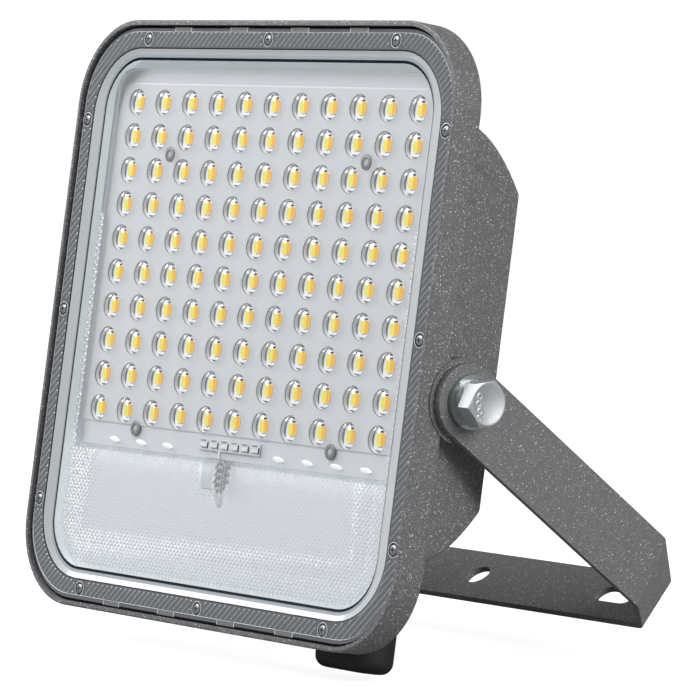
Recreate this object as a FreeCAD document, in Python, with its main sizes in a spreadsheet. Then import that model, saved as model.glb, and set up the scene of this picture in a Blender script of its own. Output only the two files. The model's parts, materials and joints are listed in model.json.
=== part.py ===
# Rechargeable LED floodlight: a square cast lamp that tilts in a folded strip bracket.
# Millimetres. Each lamp part is modelled lying on its back: x to the right, y up the face,
# z out of the face, with the origin in the middle of the rim's front edge.
import FreeCAD, Part
import math
import os
import re
import Sketcher
from FreeCAD import Placement, Rotation, Vector

SIZES = [
    # name, value, meaning
    ("lean", 9.23, "degrees that the lamp leans back as it stands"),
    ("rim_half", 116, "half the width and height of the rim"),
    ("rim_round", 33, "corner radius of the rim"),
    ("rim_depth", 13.5, "front to back of the rim"),
    ("rim_edge", 0.9, "rounding of the rim's front edge"),
    ("rim_back_edge", 2.5, "rounding of the rim's rear edge"),
    ("lip_wall", 2.0, "wall of the lip round the cover"),
    ("lip_gap", 0.5, "gap between lip and cover"),
    ("cover_sink", 1.65, "cover's flange below the rim's front"),
    ("flange_thick", 2.5, "thickness of the cover's flange"),
    ("step_in", 9.6, "rim's side to where the flange steps down"),
    ("step_wide", 6, "width of the sloping step round the window"),
    ("window_round", 20, "corner radius of the window"),
    ("window_sink", 2.9, "window below the rim's front"),
    ("window_thick", 2.3, "thickness of the window"),
    ("tab_wide", 10, "width of a clip notch in the cover's edge"),
    ("tab_deep", 2.2, "depth of a clip notch in the cover's edge"),
    ("tab_near", 18.7, "inner pair of clip notches from the middle"),
    ("tab_far", 54, "outer pair of clip notches from the middle"),
    ("gasket_thick", 1.0, "thickness of the gasket"),
    ("gasket_wide", 2.6, "width of the gasket"),
    ("ledge_in", 12, "rim's side to the edge of the front room"),
    ("floor_depth", 11.5, "depth of the ledge that the tray lies on"),
    ("box_in_side", 3.5, "rim's side to the back box where it leaves the rim"),
    ("box_in_end", 35, "rim's top edge to the back box where it leaves the rim"),
    ("mid_depth", 33, "depth where the box slopes more"),
    ("mid_slope", 9, "fall of the box's top and underside down to there"),
    ("back_depth", 46.5, "depth of the rear face"),
    ("side_slope", 9.5, "fall of the box's sides down to the rear face"),
    ("back_slope", 20.5, "fall of the box's top and underside down to the rear face"),
    ("box_round", 15, "corner radius of the back box"),
    ("box_wall", 3.0, "wall of the back box"),
    ("groove_wide", 5, "width of a cooling groove in the rear face"),
    ("groove_deep", 1.3, "depth of a cooling groove"),
    ("groove_end", 14.5, "ends of the grooves inside the rear face"),
    ("groove_step", 14, "spacing of the cooling grooves"),
    ("groove_side", 16.5, "outermost groove at least this far inside the rear face"),
    ("pivot_depth", 20.5, "pivot behind the rim's front"),
    ("pivot_drop", 19.8, "pivot below the middle of the face"),
    ("boss_radius", 16, "radius of the pivot boss"),
    ("boss_flat", 15.5, "pivot to the flat under the boss"),
    ("boss_proud", 0.5, "boss beyond the rim's side"),
    ("core_radius", 8.5, "radius of the boss's threaded core"),
    ("core_deep", 20.5, "length of the boss's threaded core"),
    ("core_end", 1, "bore beyond the end of the bolt"),
    ("bolt_radius", 5, "radius of the pivot bolt"),
    ("bolt_clear", 0.1, "radial clearance of the bolt in the bracket"),
    ("thread_clear", 0.05, "radial clearance of a screw in its thread"),
    ("bolt_long", 25, "length of the bolt under its head"),
    ("hex_across", 16, "across flats of the bolt head"),
    ("hex_high", 6.4, "height of the bolt head"),
    ("washer_radius", 10, "radius of the flat washer"),
    ("washer_thick", 2, "thickness of the flat washer"),
    ("spring_radius", 8.6, "radius of the spring washer"),
    ("spring_gap", 1.4, "gap in the spring washer"),
    ("spring_thick", 2.5, "thickness of the spring washer"),
    ("friction_thick", 0.5, "thickness of the friction washer"),
    ("strip_wide", 28, "width of the bracket strip"),
    ("strip_thick", 2.5, "thickness of the bracket strip"),
    ("arm_angle", 28.1, "degrees that the arms point down behind the lamp"),
    ("fold_reach", 113.9, "pivot to the first fold"),
    ("fold_skew", 8.5, "degrees that the first fold is off square"),
    ("fold_round", 4.0, "outer radius of the folds"),
    ("cross_tilt", 40, "degrees that the crossbar is turned from the face's normal"),
    ("cross_back", 141.7, "crossbar's middle behind the rim's front"),
    ("cross_drop", 86.3, "crossbar's middle below the middle of the face"),
    ("fold_in", 21.5, "outside of the arm to the crossbar's upper corner"),
    ("centre_radius", 5.25, "radius of the crossbar's centre hole"),
    ("slot_in", 17, "middle of a slot inside the crossbar's upper corner"),
    ("slot_long", 20, "length of a slot"),
    ("slot_wide", 9, "width of a slot"),
    ("led_side", 16, "outermost LEDs at least this far inside the lens plate"),
    ("led_top", 13.65, "top row of LEDs below the lens plate's top"),
    ("led_step_x", 17.28, "spacing of the columns"),
    ("led_step_y", 13.5, "spacing of the rows"),
    ("led_low", 14.7, "lowest row of LEDs at least this far above the lens plate's foot"),
    ("tray_gap", 0.5, "gap between the tray and the cavity wall"),
    ("tray_thick", 1.0, "thickness of the white tray"),
    ("board_thick", 1.0, "thickness of the LED board"),
    ("board_margin", 1.0, "LED board inside the lens plate's outline"),
    ("package_size", 6.4, "side of an LED package"),
    ("package_thick", 0.6, "thickness of an LED package"),
    ("lens_side", 1.5, "lens plate inside the front room's sides"),
    ("lens_top", 6, "lens plate inside the front room's top"),
    ("lens_up", 29, "lens plate's foot above the back box's underside"),
    ("lens_foot", 9, "border at the foot of the lens plate's field"),
    ("field_rise", 0.6, "field of the lens plate above its border"),
    ("lens_round", 10, "corner radius of the lens plate"),
    ("lens_border", 6, "border round the lens plate's field"),
    ("lens_skirt", 0.8, "depth of the skirt that stands on the LED board"),
    ("lens_thick", 1.3, "thickness of the lens plate"),
    ("dome_radius", 5.25, "radius of a lens dome"),
    ("dome_top", 3.2, "radius of a dome's flat top"),
    ("dome_high", 1.8, "height of a lens dome"),
    ("lens_screw_up", 8.3, "lower lens screws above the lens plate's foot"),
    ("screw_in_side", 5.8, "side cover screws inside the rim's side"),
    ("screw_in_end", 7.3, "top and bottom cover screws inside the rim's edge"),
    ("screw_in_row", 7, "outer cover screws inside the straight of the rim"),
    ("screw_radius", 1.25, "shank radius of the small screws"),
    ("screw_head", 2.3, "head radius of a cover screw"),
    ("screw_sink", 1.3, "counterbore of a cover screw"),
    ("screw_bite", 6.5, "length of a cover screw in the housing"),
    ("screw_short", 0.5, "end of a small screw before the end of its hole"),
    ("small_gap", 0.15, "radial gap round small screws and pins"),
    ("lens_head", 3.3, "head radius of a lens screw"),
    ("lens_head_high", 1.3, "height of a lens screw's head"),
    ("post_radius", 4, "radius of the posts under the tray"),
    ("post_gap", 2, "gap between the lower posts and the battery"),
    ("post_bite", 8, "length of a lens screw in its post"),
    ("terminal_half", 19, "half width of the terminal row"),
    ("terminal_gap", 1, "gap round the terminal row"),
    ("terminal_up", 5.5, "terminal row above the lens plate's foot"),
    ("terminal_high", 4.5, "height of the terminal row"),
    ("terminal_thick", 2.4, "thickness of the terminal row"),
    ("clip_size", 12, "width of the lead clip"),
    ("clip_gap", 2.8, "gap between terminal row and lead clip"),
    ("clip_x", 10, "lead clip left of the middle"),
    ("lead_hole", 13, "lead's hole in the tray above the back box's underside"),
    ("clip_thick", 4.2, "thickness of the lead clip"),
    ("lead_radius", 1.0, "radius of the LED lead"),
    ("lead_room", 1.2, "gap round the lead in its hole"),
    ("lead_in", 2, "lead inside the clip's right side"),
    ("lead_bend", 4, "bend radius of the LED lead"),
    ("lead_tail", 2, "length of the lead behind the tray"),
    ("plug_radius", 3, "radius of the lead's plug"),
    ("plug_long", 12, "length of the lead's plug"),
    ("cell_radius", 9.2, "radius of a battery cell"),
    ("cell_long", 65, "length of a battery cell"),
    ("cell_step", 19, "spacing of the cells"),
    ("cell_side", 8, "battery cradle inside the rear face"),
    ("cell_gap", 12, "least gap between the battery and the control board"),
    ("cradle_floor", 2, "floor of the battery cradle"),
    ("cradle_high", 7, "height of the battery cradle"),
    ("cradle_end", 1.5, "end walls of the battery cradle"),
    ("strap_wide", 14, "width of the battery strap"),
    ("strap_thick", 1.5, "thickness of the battery strap"),
    ("pcb_side", 9, "control board inside the rear face"),
    ("pcb_wide", 62, "width of the control board"),
    ("pcb_top", 4.5, "control board's top inside the rear face"),
    ("pcb_foot", 24.5, "control board's foot inside the rear face"),
    ("pcb_thick", 1.6, "thickness of the control board"),
    ("pcb_stand", 4, "height of the control board's stands"),
    ("pcb_inset", 5, "board screws from the board's edges"),
    ("stand_radius", 3.2, "radius of the control board's stands"),
    ("coil_radius", 8, "radius of the inductor"),
    ("coil_high", 8, "height of the inductor"),
    ("coil_up", 30, "inductor above the middle of the face"),
    ("capacitor_radius", 5, "radius of a capacitor"),
    ("capacitor_high", 16, "height of a capacitor"),
    ("capacitor_drop", 8, "capacitors below the middle of the face"),
    ("capacitor_apart", 12, "each capacitor from the middle of the board"),
    ("inlet_x", 67.5, "charging inlet right of the middle"),
    ("inlet_depth", 25, "charging inlet behind the rim's front"),
    ("inlet_proud", 3, "inlet's seat beyond the box's underside"),
    ("inlet_wall", 7, "wall under the inlet's nut"),
    ("inlet_boss", 12, "radius of the inlet's boss"),
    ("inlet_radius", 6, "thread radius of the inlet"),
    ("inlet_flange", 10, "radius of the inlet's flange"),
    ("inlet_flange_thick", 3, "thickness of the inlet's flange"),
    ("inlet_nose", 6.5, "radius of the inlet's nose"),
    ("inlet_nose_long", 12, "length of the inlet's nose"),
    ("inlet_jack", 3.6, "radius of the inlet's socket"),
    ("inlet_jack_deep", 10, "depth of the inlet's socket"),
    ("seal_thick", 1, "thickness of the inlet's seal"),
    ("nut_across", 17, "across flats of the inlet's nut"),
    ("nut_thick", 4, "thickness of the inlet's nut"),
    ("nut_room", 1, "gap round the inlet's nut"),
    ("cap_wide", 35, "width of the inlet cap"),
    ("cap_deep", 18, "front to back of the inlet cap"),
    ("cap_long", 35, "height of the inlet cap"),
    ("cap_round", 4, "corner radius of the inlet cap"),
    ("cap_clear", 0.15, "clearance of the cap on the nose"),
    ("cap_rib", 0.9, "width of a grip rib"),
    ("cap_rib_proud", 0.7, "height of a grip rib"),
    ("cap_rib_step", 1.9, "spacing of the grip ribs"),
    ("cap_rib_count", 7, "number of grip ribs"),
]

doc = FreeCAD.newDocument("floodlight")
sheet = doc.addObject("Spreadsheet::Sheet", "sizes")
for line, (word, value, meaning) in enumerate(SIZES, 1):
    sheet.set(f"A{line}", meaning)
    sheet.set(f"B{line}", str(value))
    sheet.setAlias(f"B{line}", word)
doc.recompute()

nodes = []


def size(word):
    """A driving size as a number."""
    return float(getattr(sheet, word))


def worked(formula):
    """The value of a formula in the sheet's names."""
    return float(sheet.evalExpression(formula))


def linked(formula):
    """The formula with the sheet's name before each of its words."""
    return re.sub(r"[a-z][a-z_]*", lambda found: WORDS.get(found[0], found[0]), formula)


def bind(thing, **formulas):
    """Bind properties to formulas; a double underscore stands for a dot."""
    for name, formula in formulas.items():
        thing.setExpression(name.replace("__", "."), linked(formula))


def origin_plane(body, role):
    """One of a body's own origin planes."""
    return next(item for item in body.Origin.OriginFeatures if item.Role == role)


def new_body(label):
    """A part-design body in the lamp's frame."""
    body = doc.addObject("PartDesign::Body", label)
    body.Label = label
    return body


def new_sketch(body, name, offset, role="XY_Plane"):
    """A sketch parallel to an origin plane, offset along its normal by a formula."""
    sketch = body.newObject("Sketcher::SketchObject", name)
    sketch.AttachmentSupport = [(origin_plane(body, role), "")]
    sketch.MapMode = "FlatFace"
    bind(sketch, AttachmentOffset__Base__z=offset)
    return sketch


def hold(sketch, kind, where, formula):
    """Add a dimension to a sketch and bind it to a formula."""
    index = sketch.addConstraint(Sketcher.Constraint(kind, *where, worked(formula)))
    sketch.setExpression(f"Constraints[{index}]", linked(formula))


def place_point(sketch, where, across, up):
    """Place a point of a sketch at two formulas from the sketch's origin."""
    for kind, formula in (("DistanceX", across), ("DistanceY", up)):
        if worked(formula) < 0:
            hold(sketch, kind, (*where, -1, 1), f"-({formula})")
        else:
            hold(sketch, kind, (-1, 1, *where), formula)


def add_circle(sketch, across, up, radius):
    """A circle at two formulas, with a radius formula."""
    middle = Vector(worked(across), worked(up), 0)
    ring = sketch.addGeometry(Part.Circle(middle, Vector(0, 0, 1), worked(radius)))
    place_point(sketch, (ring, 3), across, up)
    hold(sketch, "Radius", (ring,), radius)


def add_frame(sketch, left, right, bottom, top, corner):
    """A rectangle with rounded corners between four formulas."""
    x_low, x_high, y_low, y_high = map(worked, (left, right, bottom, top))
    turn = worked(corner)
    middles = [(x_high - turn, y_high - turn), (x_low + turn, y_high - turn),
               (x_low + turn, y_low + turn), (x_high - turn, y_low + turn)]
    arcs = []
    for quarter, (x, y) in enumerate(middles):
        circle = Part.Circle(Vector(x, y, 0), Vector(0, 0, 1), turn)
        start = quarter * math.pi / 2
        arcs.append(sketch.addGeometry(Part.ArcOfCircle(circle, start, start + math.pi / 2)))
    lines = []
    for quarter, arc in enumerate(arcs):
        after = arcs[(quarter + 1) % 4]
        start = sketch.getPoint(arc, 2)
        end = sketch.getPoint(after, 1)
        line = sketch.addGeometry(Part.LineSegment(start, end))
        lines.append(line)
        sketch.addConstraint(Sketcher.Constraint("Tangent", arc, 2, line, 1))
        sketch.addConstraint(Sketcher.Constraint("Tangent", line, 2, after, 1))
        direction = "Vertical" if quarter % 2 else "Horizontal"
        sketch.addConstraint(Sketcher.Constraint(direction, line))
        if quarter:
            sketch.addConstraint(Sketcher.Constraint("Equal", arcs[0], arc))
    hold(sketch, "Radius", (arcs[0],), corner)
    for kind, line, formula in (("DistanceY", lines[0], top), ("DistanceX", lines[1], left),
                                ("DistanceY", lines[2], bottom), ("DistanceX", lines[3], right)):
        if worked(formula) < 0:
            hold(sketch, kind, (line, 1, -1, 1), f"-({formula})")
        else:
            hold(sketch, kind, (-1, 1, line, 1), formula)


def square_frame(sketch, half, corner):
    """A rounded square about the middle of the face."""
    add_frame(sketch, f"-({half})", half, f"-({half})", half, corner)


def grow(body, sketch, name, length, **more):
    """A pad towards the front; Reversed sends it to the back."""
    pad = body.newObject("PartDesign::Pad", name)
    pad.Profile = sketch
    bind(pad, Length=length)
    return finish(body, pad, more, 1)


def sink(body, sketch, name, length, **more):
    """A pocket towards the back; Reversed sends it to the front."""
    pocket = body.newObject("PartDesign::Pocket", name)
    pocket.Profile = sketch
    bind(pocket, Length=length)
    return finish(body, pocket, more, -1)


def finish(body, feature, settings, sign):
    """Apply settings, recompute and check that the volume went the right way."""
    base = feature.BaseFeature
    before = base.Shape.Volume if base else 0
    for name, value in settings.items():
        setattr(feature, name, value)
    body.Tip = feature
    doc.recompute()
    if "Invalid" in feature.State or sign * (feature.Shape.Volume - before) <= 0:
        raise RuntimeError(f"{feature.Name} changes nothing")
    return feature


def rounded(body, name, edges, radius):
    """A fillet on the named edges of the body's last feature."""
    base = body.Tip
    fillet = body.newObject("PartDesign::Fillet", name)
    fillet.Base = (base, edges)
    bind(fillet, Radius=radius)
    body.Tip = fillet
    doc.recompute()
    return fillet


def edges_where(shape, test):
    """Names of the edges whose box passes a test."""
    return [f"Edge{index}" for index, edge in enumerate(shape.Edges, 1) if test(edge.BoundBox)]


def keep(thing, label):
    """Stand a finished sub-part up as the lamp stands and list it as a node."""
    thing.Label = label
    thing.Placement = STAND
    nodes.append(thing)
    return thing


def keep_shape(label, shape):
    """A sub-part whose shape is worked out here from the sheet."""
    thing = doc.addObject("Part::Feature", label)
    thing.Shape = shape
    return keep(thing, label)


def box(low, high):
    """A box between two corners."""
    return Part.makeBox(*(high - low), low)


def rod(radius, start, end):
    """A cylinder between two points."""
    way = end - start
    return Part.makeCylinder(radius, way.Length, start, way)


def mirrored_pair(label, shape):
    """The same piece on the right and on the left, as two nodes."""
    keep_shape(f"{label}_right", shape)
    keep_shape(f"{label}_left", shape.mirror(Vector(0, 0, 0), Vector(1, 0, 0)))


WORDS = {word: f"sizes.{word}" for word, _, _ in SIZES}

# Outlines that follow the rim, as formulas from the middle of the face.
CAVITY = "(rim_half - ledge_in)"
CAVITY_ROUND = "(rim_round - ledge_in)"
STEP = "(rim_half - step_in)"
BOX_WIDE = "(rim_half - box_in_side)"
BOX_HIGH = "(rim_half - box_in_end)"
MID_WIDE = f"({BOX_WIDE} - side_slope * (mid_depth - rim_depth) / (back_depth - rim_depth))"
MID_HIGH = f"({BOX_HIGH} - mid_slope)"
BACK_WIDE = f"({BOX_WIDE} - side_slope)"
BACK_HIGH = f"({BOX_HIGH} - back_slope)"
GROOVES_EACH_SIDE = f"floor(({BACK_WIDE} - groove_side) / groove_step)"
INLET_SEAT = f"({BOX_HIGH} + inlet_proud)"

# The lens plate and what lines up with it.
LENS_WIDE = f"({CAVITY} - lens_side)"
LENS_TOP = f"({CAVITY} - lens_top)"
LENS_LOW = f"({BOX_HIGH} - lens_up)"
TERMINAL_DROP = f"({LENS_LOW} - terminal_up)"
LENS_SCREWS = [(f"{side}3.5 * led_step_x", height) for side in ("", "-")
               for height in (f"{LENS_TOP} - led_top - 1.5 * led_step_y", f"lens_screw_up - {LENS_LOW}")]

# The control board and its screws.
PCB_LEFT = f"({BACK_WIDE} - pcb_side - pcb_wide)"
PCB_FOOT = f"(pcb_foot - {BACK_HIGH})"
PCB_TOP = f"({BACK_HIGH} - pcb_top)"
BOARD_SCREWS = [(across, up) for across in (f"{PCB_LEFT} + pcb_inset", f"{PCB_LEFT} + pcb_wide - pcb_inset")
                for up in (f"{PCB_FOOT} + pcb_inset", f"{PCB_TOP} - pcb_inset")]

# The cover screws, three along each side.
SCREW_ROW = "(rim_half - rim_round - screw_in_row)"
ALONG = (SCREW_ROW, "0", f"-{SCREW_ROW}")
COVER_SCREWS = [(f"{side}(rim_half - screw_in_side)", row) for side in ("", "-") for row in ALONG]
COVER_SCREWS += [(row, f"{side}(rim_half - screw_in_end)") for side in ("", "-") for row in ALONG]

# Depths of the flat pieces that lie one on another, as formulas from the rim's front.
LEDGE = "cover_sink + flange_thick + gasket_thick"
TRAY_FRONT = "floor_depth - tray_thick"
BOARD_FRONT = f"{TRAY_FRONT} - board_thick"
LENS_BACK = f"{BOARD_FRONT} - lens_skirt"
LENS_FRONT = f"{LENS_BACK} - lens_thick"
BOX_FLOOR = "back_depth - box_wall"

# The lead runs down near the clip's right side, turns back under it and passes the tray.
LEAD_X = "(clip_size / 2 - lead_in - clip_x)"
LEAD_HOLE = f"({BOX_HIGH} - lead_hole)"
LEAD_TURN = f"({LEAD_HOLE} - lead_bend)"
CLIP_TOP = f"({TERMINAL_DROP} + terminal_high / 2 + clip_gap)"
CLIP_FOOT = f"({LEAD_TURN} - lead_tail / 4)"

# The lamp's pose: lying on its back, stood up, leant back, with the mounting hole at the origin.
upright = Rotation(Vector(1, 0, 0), 90 - size("lean"))
mount_point = Vector(0, -size("cross_drop"), -size("cross_back"))
STAND = Placement(-upright.multVec(mount_point), upright)

pivot = Vector(0, -size("pivot_drop"), -size("pivot_depth"))
boss_face = worked("rim_half + boss_proud")
arm_inside = boss_face + size("friction_thick")
arm_outside = arm_inside + size("strip_thick")
STACK = "friction_thick + strip_thick + washer_thick + spring_thick"
BOLT_END = f"(rim_half + boss_proud + {STACK} - bolt_long)"


# Housing: one casting, a shallow rim with a sloping box behind it.
def make_housing():
    body = new_body("housing")
    rim = new_sketch(body, "rim_outline", "0")
    square_frame(rim, "rim_half", "rim_round")
    grow(body, rim, "rim", "rim_depth", Reversed=True)
    front = edges_where(body.Shape, lambda b: b.ZMin > -0.01)
    rounded(body, "rim_front_edge", front, "rim_edge")
    rear = edges_where(body.Shape, lambda b: b.ZMax < 0.01 - size("rim_depth"))
    rounded(body, "rim_rear_edge", rear, "rim_back_edge")
    box_loft(body, "outer", "PartDesign::AdditiveLoft", "rim_depth - rim_back_edge", "0", "back_depth")
    pivot_bosses(body)
    inlet_boss(body)
    recess = new_sketch(body, "recess_outline", "0")
    square_frame(recess, "rim_half - lip_wall", "rim_round - lip_wall")
    sink(body, recess, "cover_recess", LEDGE)
    front_room = new_sketch(body, "front_room_outline", f"-({LEDGE})")
    square_frame(front_room, CAVITY, CAVITY_ROUND)
    sink(body, front_room, "front_room", f"floor_depth - ({LEDGE})")
    box_loft(body, "inner", "PartDesign::SubtractiveLoft", "floor_depth", "box_wall", BOX_FLOOR)
    bolt_cores(body)
    inlet_hole(body)
    tray_posts(body)
    board_stands(body)
    cover_holes = new_sketch(body, "cover_screw_holes", f"-({LEDGE})")
    for across, up in COVER_SCREWS:
        add_circle(cover_holes, across, up, "screw_radius + thread_clear")
    sink(body, cover_holes, "cover_screw_threads", "screw_bite")
    cooling_grooves(body)
    return keep(body, "housing")


def box_loft(body, name, kind, start, wall, end):
    """The back box or its inside: three rounded rectangles, one behind another."""
    sections = []
    steps = ((start, BOX_WIDE, BOX_HIGH), ("mid_depth", MID_WIDE, MID_HIGH), (end, BACK_WIDE, BACK_HIGH))
    for number, (depth, wide, high) in enumerate(steps):
        sketch = new_sketch(body, f"{name}_section_{number}", f"-({depth})")
        add_frame(sketch, f"-({wide} - {wall})", f"{wide} - {wall}",
                  f"-({high} - {wall})", f"{high} - {wall}", f"box_round - {wall}")
        sections.append(sketch)
    loft = body.newObject(kind, f"{name}_box")
    loft.Profile = sections[0]
    loft.Sections = sections[1:]
    finish(body, loft, {"Ruled": True}, 1 if kind.endswith("AdditiveLoft") else -1)


def pivot_bosses(body):
    """A round boss with a flat underneath on each side."""
    sketch = new_sketch(body, "boss_outline", "0", "YZ_Plane")
    middle = Vector(-size("pivot_drop"), -size("pivot_depth"), 0)
    radius = size("boss_radius")
    corner = math.acos(size("boss_flat") / radius)
    circle = Part.Circle(middle, Vector(0, 0, 1), radius)
    arc = sketch.addGeometry(Part.ArcOfCircle(circle, corner - math.pi, math.pi - corner))
    flat = sketch.addGeometry(Part.LineSegment(sketch.getPoint(arc, 2), sketch.getPoint(arc, 1)))
    sketch.addConstraint(Sketcher.Constraint("Coincident", arc, 2, flat, 1))
    sketch.addConstraint(Sketcher.Constraint("Coincident", flat, 2, arc, 1))
    sketch.addConstraint(Sketcher.Constraint("Vertical", flat))
    place_point(sketch, (arc, 3), "-pivot_drop", "-pivot_depth")
    hold(sketch, "Radius", (arc,), "boss_radius")
    hold(sketch, "DistanceX", (flat, 1, arc, 3), "boss_flat")
    grow(body, sketch, "pivot_bosses", "2 * (rim_half + boss_proud)", Midplane=True)


def bolt_cores(body):
    """A threaded core inside each boss, bored from outside."""
    core = new_sketch(body, "core_outline", "rim_half + boss_proud - core_deep", "YZ_Plane")
    add_circle(core, "-pivot_drop", "-pivot_depth", "core_radius")
    core_pad = grow(body, core, "bolt_core", "core_deep - boss_proud")
    bore = new_sketch(body, "bolt_bore_outline", "rim_half + boss_proud", "YZ_Plane")
    add_circle(bore, "-pivot_drop", "-pivot_depth", "bolt_radius + thread_clear")
    bore_cut = sink(body, bore, "bolt_bore", f"rim_half + boss_proud - {BOLT_END} + core_end")
    both = body.newObject("PartDesign::Mirrored", "other_side")
    both.Originals = [core_pad, bore_cut]
    both.MirrorPlane = (origin_plane(body, "YZ_Plane"), [""])
    body.Tip = both
    doc.recompute()


def inlet_boss(body):
    """A round seat for the charging inlet under the box."""
    sketch = new_sketch(body, "inlet_boss_outline", INLET_SEAT, "XZ_Plane")
    add_circle(sketch, "inlet_x", "-inlet_depth", "inlet_boss")
    grow(body, sketch, "inlet_boss", "inlet_proud + mid_slope + box_wall + 1", Reversed=True)


def inlet_hole(body):
    """A flat for the nut inside the box, and the hole through the seat."""
    flat = new_sketch(body, "nut_flat_outline", f"{INLET_SEAT} - inlet_wall", "XZ_Plane")
    add_circle(flat, "inlet_x", "-inlet_depth", "nut_across / sqrt(3) + nut_room")
    sink(body, flat, "nut_flat", "inlet_proud + mid_slope + box_wall")
    hole = new_sketch(body, "inlet_hole_outline", INLET_SEAT, "XZ_Plane")
    add_circle(hole, "inlet_x", "-inlet_depth", "inlet_radius + small_gap")
    sink(body, hole, "inlet_hole", "inlet_wall")


def tray_posts(body):
    """Four posts behind the tray, each with a screw hole; the upper pair end in the slope."""
    holes = new_sketch(body, "post_holes", "-floor_depth")
    pairs = (("upper", LENS_SCREWS[0::2], "mid_depth + box_wall"),
             ("lower", LENS_SCREWS[1::2], "back_depth - box_wall / 2"))
    for name, pair, end in pairs:
        posts = new_sketch(body, f"{name}_post_outlines", "-floor_depth")
        for across, up in pair:
            add_circle(posts, across, up, "post_radius")
            add_circle(holes, across, up, "screw_radius + thread_clear")
        grow(body, posts, f"{name}_posts", f"{end} - floor_depth", Reversed=True)
    sink(body, holes, "post_threads", "post_bite")


def board_stands(body):
    """Four low stands for the control board on the rear wall."""
    top = f"{BOX_FLOOR} - pcb_stand"
    stands = new_sketch(body, "stand_outlines", f"-({top})")
    holes = new_sketch(body, "stand_holes", f"-({top})")
    for across, up in BOARD_SCREWS:
        add_circle(stands, across, up, "stand_radius")
        add_circle(holes, across, up, "screw_radius + thread_clear")
    grow(body, stands, "board_stands", "pcb_stand + box_wall / 2", Reversed=True)
    sink(body, holes, "stand_threads", "pcb_stand")


def cooling_grooves(body):
    """Shallow upright grooves across the rear face."""
    sketch = new_sketch(body, "groove_outline", "-back_depth")
    first = f"-{GROOVES_EACH_SIDE} * groove_step"
    half_long = f"({BACK_HIGH} - groove_end)"
    add_frame(sketch, f"{first} - groove_wide / 2", f"{first} + groove_wide / 2",
              f"-{half_long}", half_long, "groove_wide * 0.46")
    cut = sink(body, sketch, "cooling_groove", "groove_deep", Reversed=True)
    row = body.newObject("PartDesign::LinearPattern", "cooling_grooves")
    row.Originals = [cut]
    row.Direction = (sketch, ["H_Axis"])
    bind(row, Length=f"2 * {GROOVES_EACH_SIDE} * groove_step", Occurrences=f"2 * {GROOVES_EACH_SIDE} + 1")
    body.Tip = row
    doc.recompute()


# Front cover: one clear moulding, with a flange and a sunk window.
def make_front_cover():
    body = new_body("front_cover")
    outline = new_sketch(body, "flange_outline", "-cover_sink")
    half = "(rim_half - lip_wall - lip_gap)"
    square_frame(outline, half, "rim_round - lip_wall - lip_gap")
    grow(body, outline, "flange", "flange_thick", Reversed=True)
    back = new_sketch(body, "window_back_outline", "-(cover_sink + flange_thick)")
    square_frame(back, f"{CAVITY} - small_gap", f"{CAVITY_ROUND} - small_gap")
    grow(body, back, "window_back", "window_sink + window_thick - cover_sink - flange_thick", Reversed=True)
    step = new_sketch(body, "step_outline", "-cover_sink")
    square_frame(step, STEP, "window_round + step_wide")
    window = new_sketch(body, "window_outline", "-window_sink")
    square_frame(window, f"{STEP} - step_wide", "window_round")
    well = body.newObject("PartDesign::SubtractiveLoft", "window_well")
    well.Profile = step
    well.Sections = [window]
    finish(body, well, {"Ruled": True}, -1)
    heads = new_sketch(body, "screw_recesses", "-cover_sink")
    holes = new_sketch(body, "screw_holes", "-(cover_sink + screw_sink)")
    for across, up in COVER_SCREWS:
        add_circle(heads, across, up, "screw_head + small_gap")
        add_circle(holes, across, up, "screw_radius + small_gap")
    sink(body, heads, "screw_seats", "screw_sink")
    sink(body, holes, "screw_clearance", "flange_thick")
    notches = new_sketch(body, "clip_notches", "-cover_sink")
    for side in ("", "-"):
        for place in ("tab_near", "-tab_near", "tab_far", "-tab_far"):
            edges = sorted((f"{side}({half} - tab_deep)", f"{side}({half} + lip_gap)"), key=worked)
            add_frame(notches, f"{place} - tab_wide / 2", f"{place} + tab_wide / 2", *edges, "lip_gap / 2")
    sink(body, notches, "clip_notch", "flange_thick / 2")
    return keep(body, "front_cover")


# Gasket: a flat ring between the ledge and the cover's flange.
def make_gasket():
    body = new_body("cover_gasket")
    ring = new_sketch(body, "gasket_outline", f"-({LEDGE})")
    inside = f"{CAVITY} + small_gap"
    square_frame(ring, f"{inside} + gasket_wide", f"{CAVITY_ROUND} + gasket_wide")
    square_frame(ring, inside, CAVITY_ROUND)
    grow(body, ring, "gasket", "gasket_thick")
    return keep(body, "cover_gasket")


# Tray: a white plate on the floor of the front room, which reflects the light.
def make_tray():
    body = new_body("inner_tray")
    outline = new_sketch(body, "tray_outline", "-floor_depth")
    square_frame(outline, f"{CAVITY} - tray_gap", f"{CAVITY_ROUND} - tray_gap")
    for across, up in LENS_SCREWS:
        add_circle(outline, across, up, "screw_radius + small_gap")
    add_circle(outline, LEAD_X, f"-{LEAD_HOLE}", "lead_radius + lead_room")
    grow(body, outline, "tray", "tray_thick")
    return keep(body, "inner_tray")


# LED board: an aluminium board with holes for the lens screws.
def make_led_board():
    body = new_body("led_board")
    outline = new_sketch(body, "board_outline", f"-({TRAY_FRONT})")
    half = f"({LENS_WIDE} - board_margin)"
    add_frame(outline, f"-{half}", half, f"-({LENS_LOW} - board_margin)", f"{LENS_TOP} - board_margin",
              "lens_round - board_margin")
    for across, up in LENS_SCREWS:
        add_circle(outline, across, up, "screw_radius + small_gap")
    grow(body, outline, "board", "board_thick")
    return keep(body, "led_board")


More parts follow.
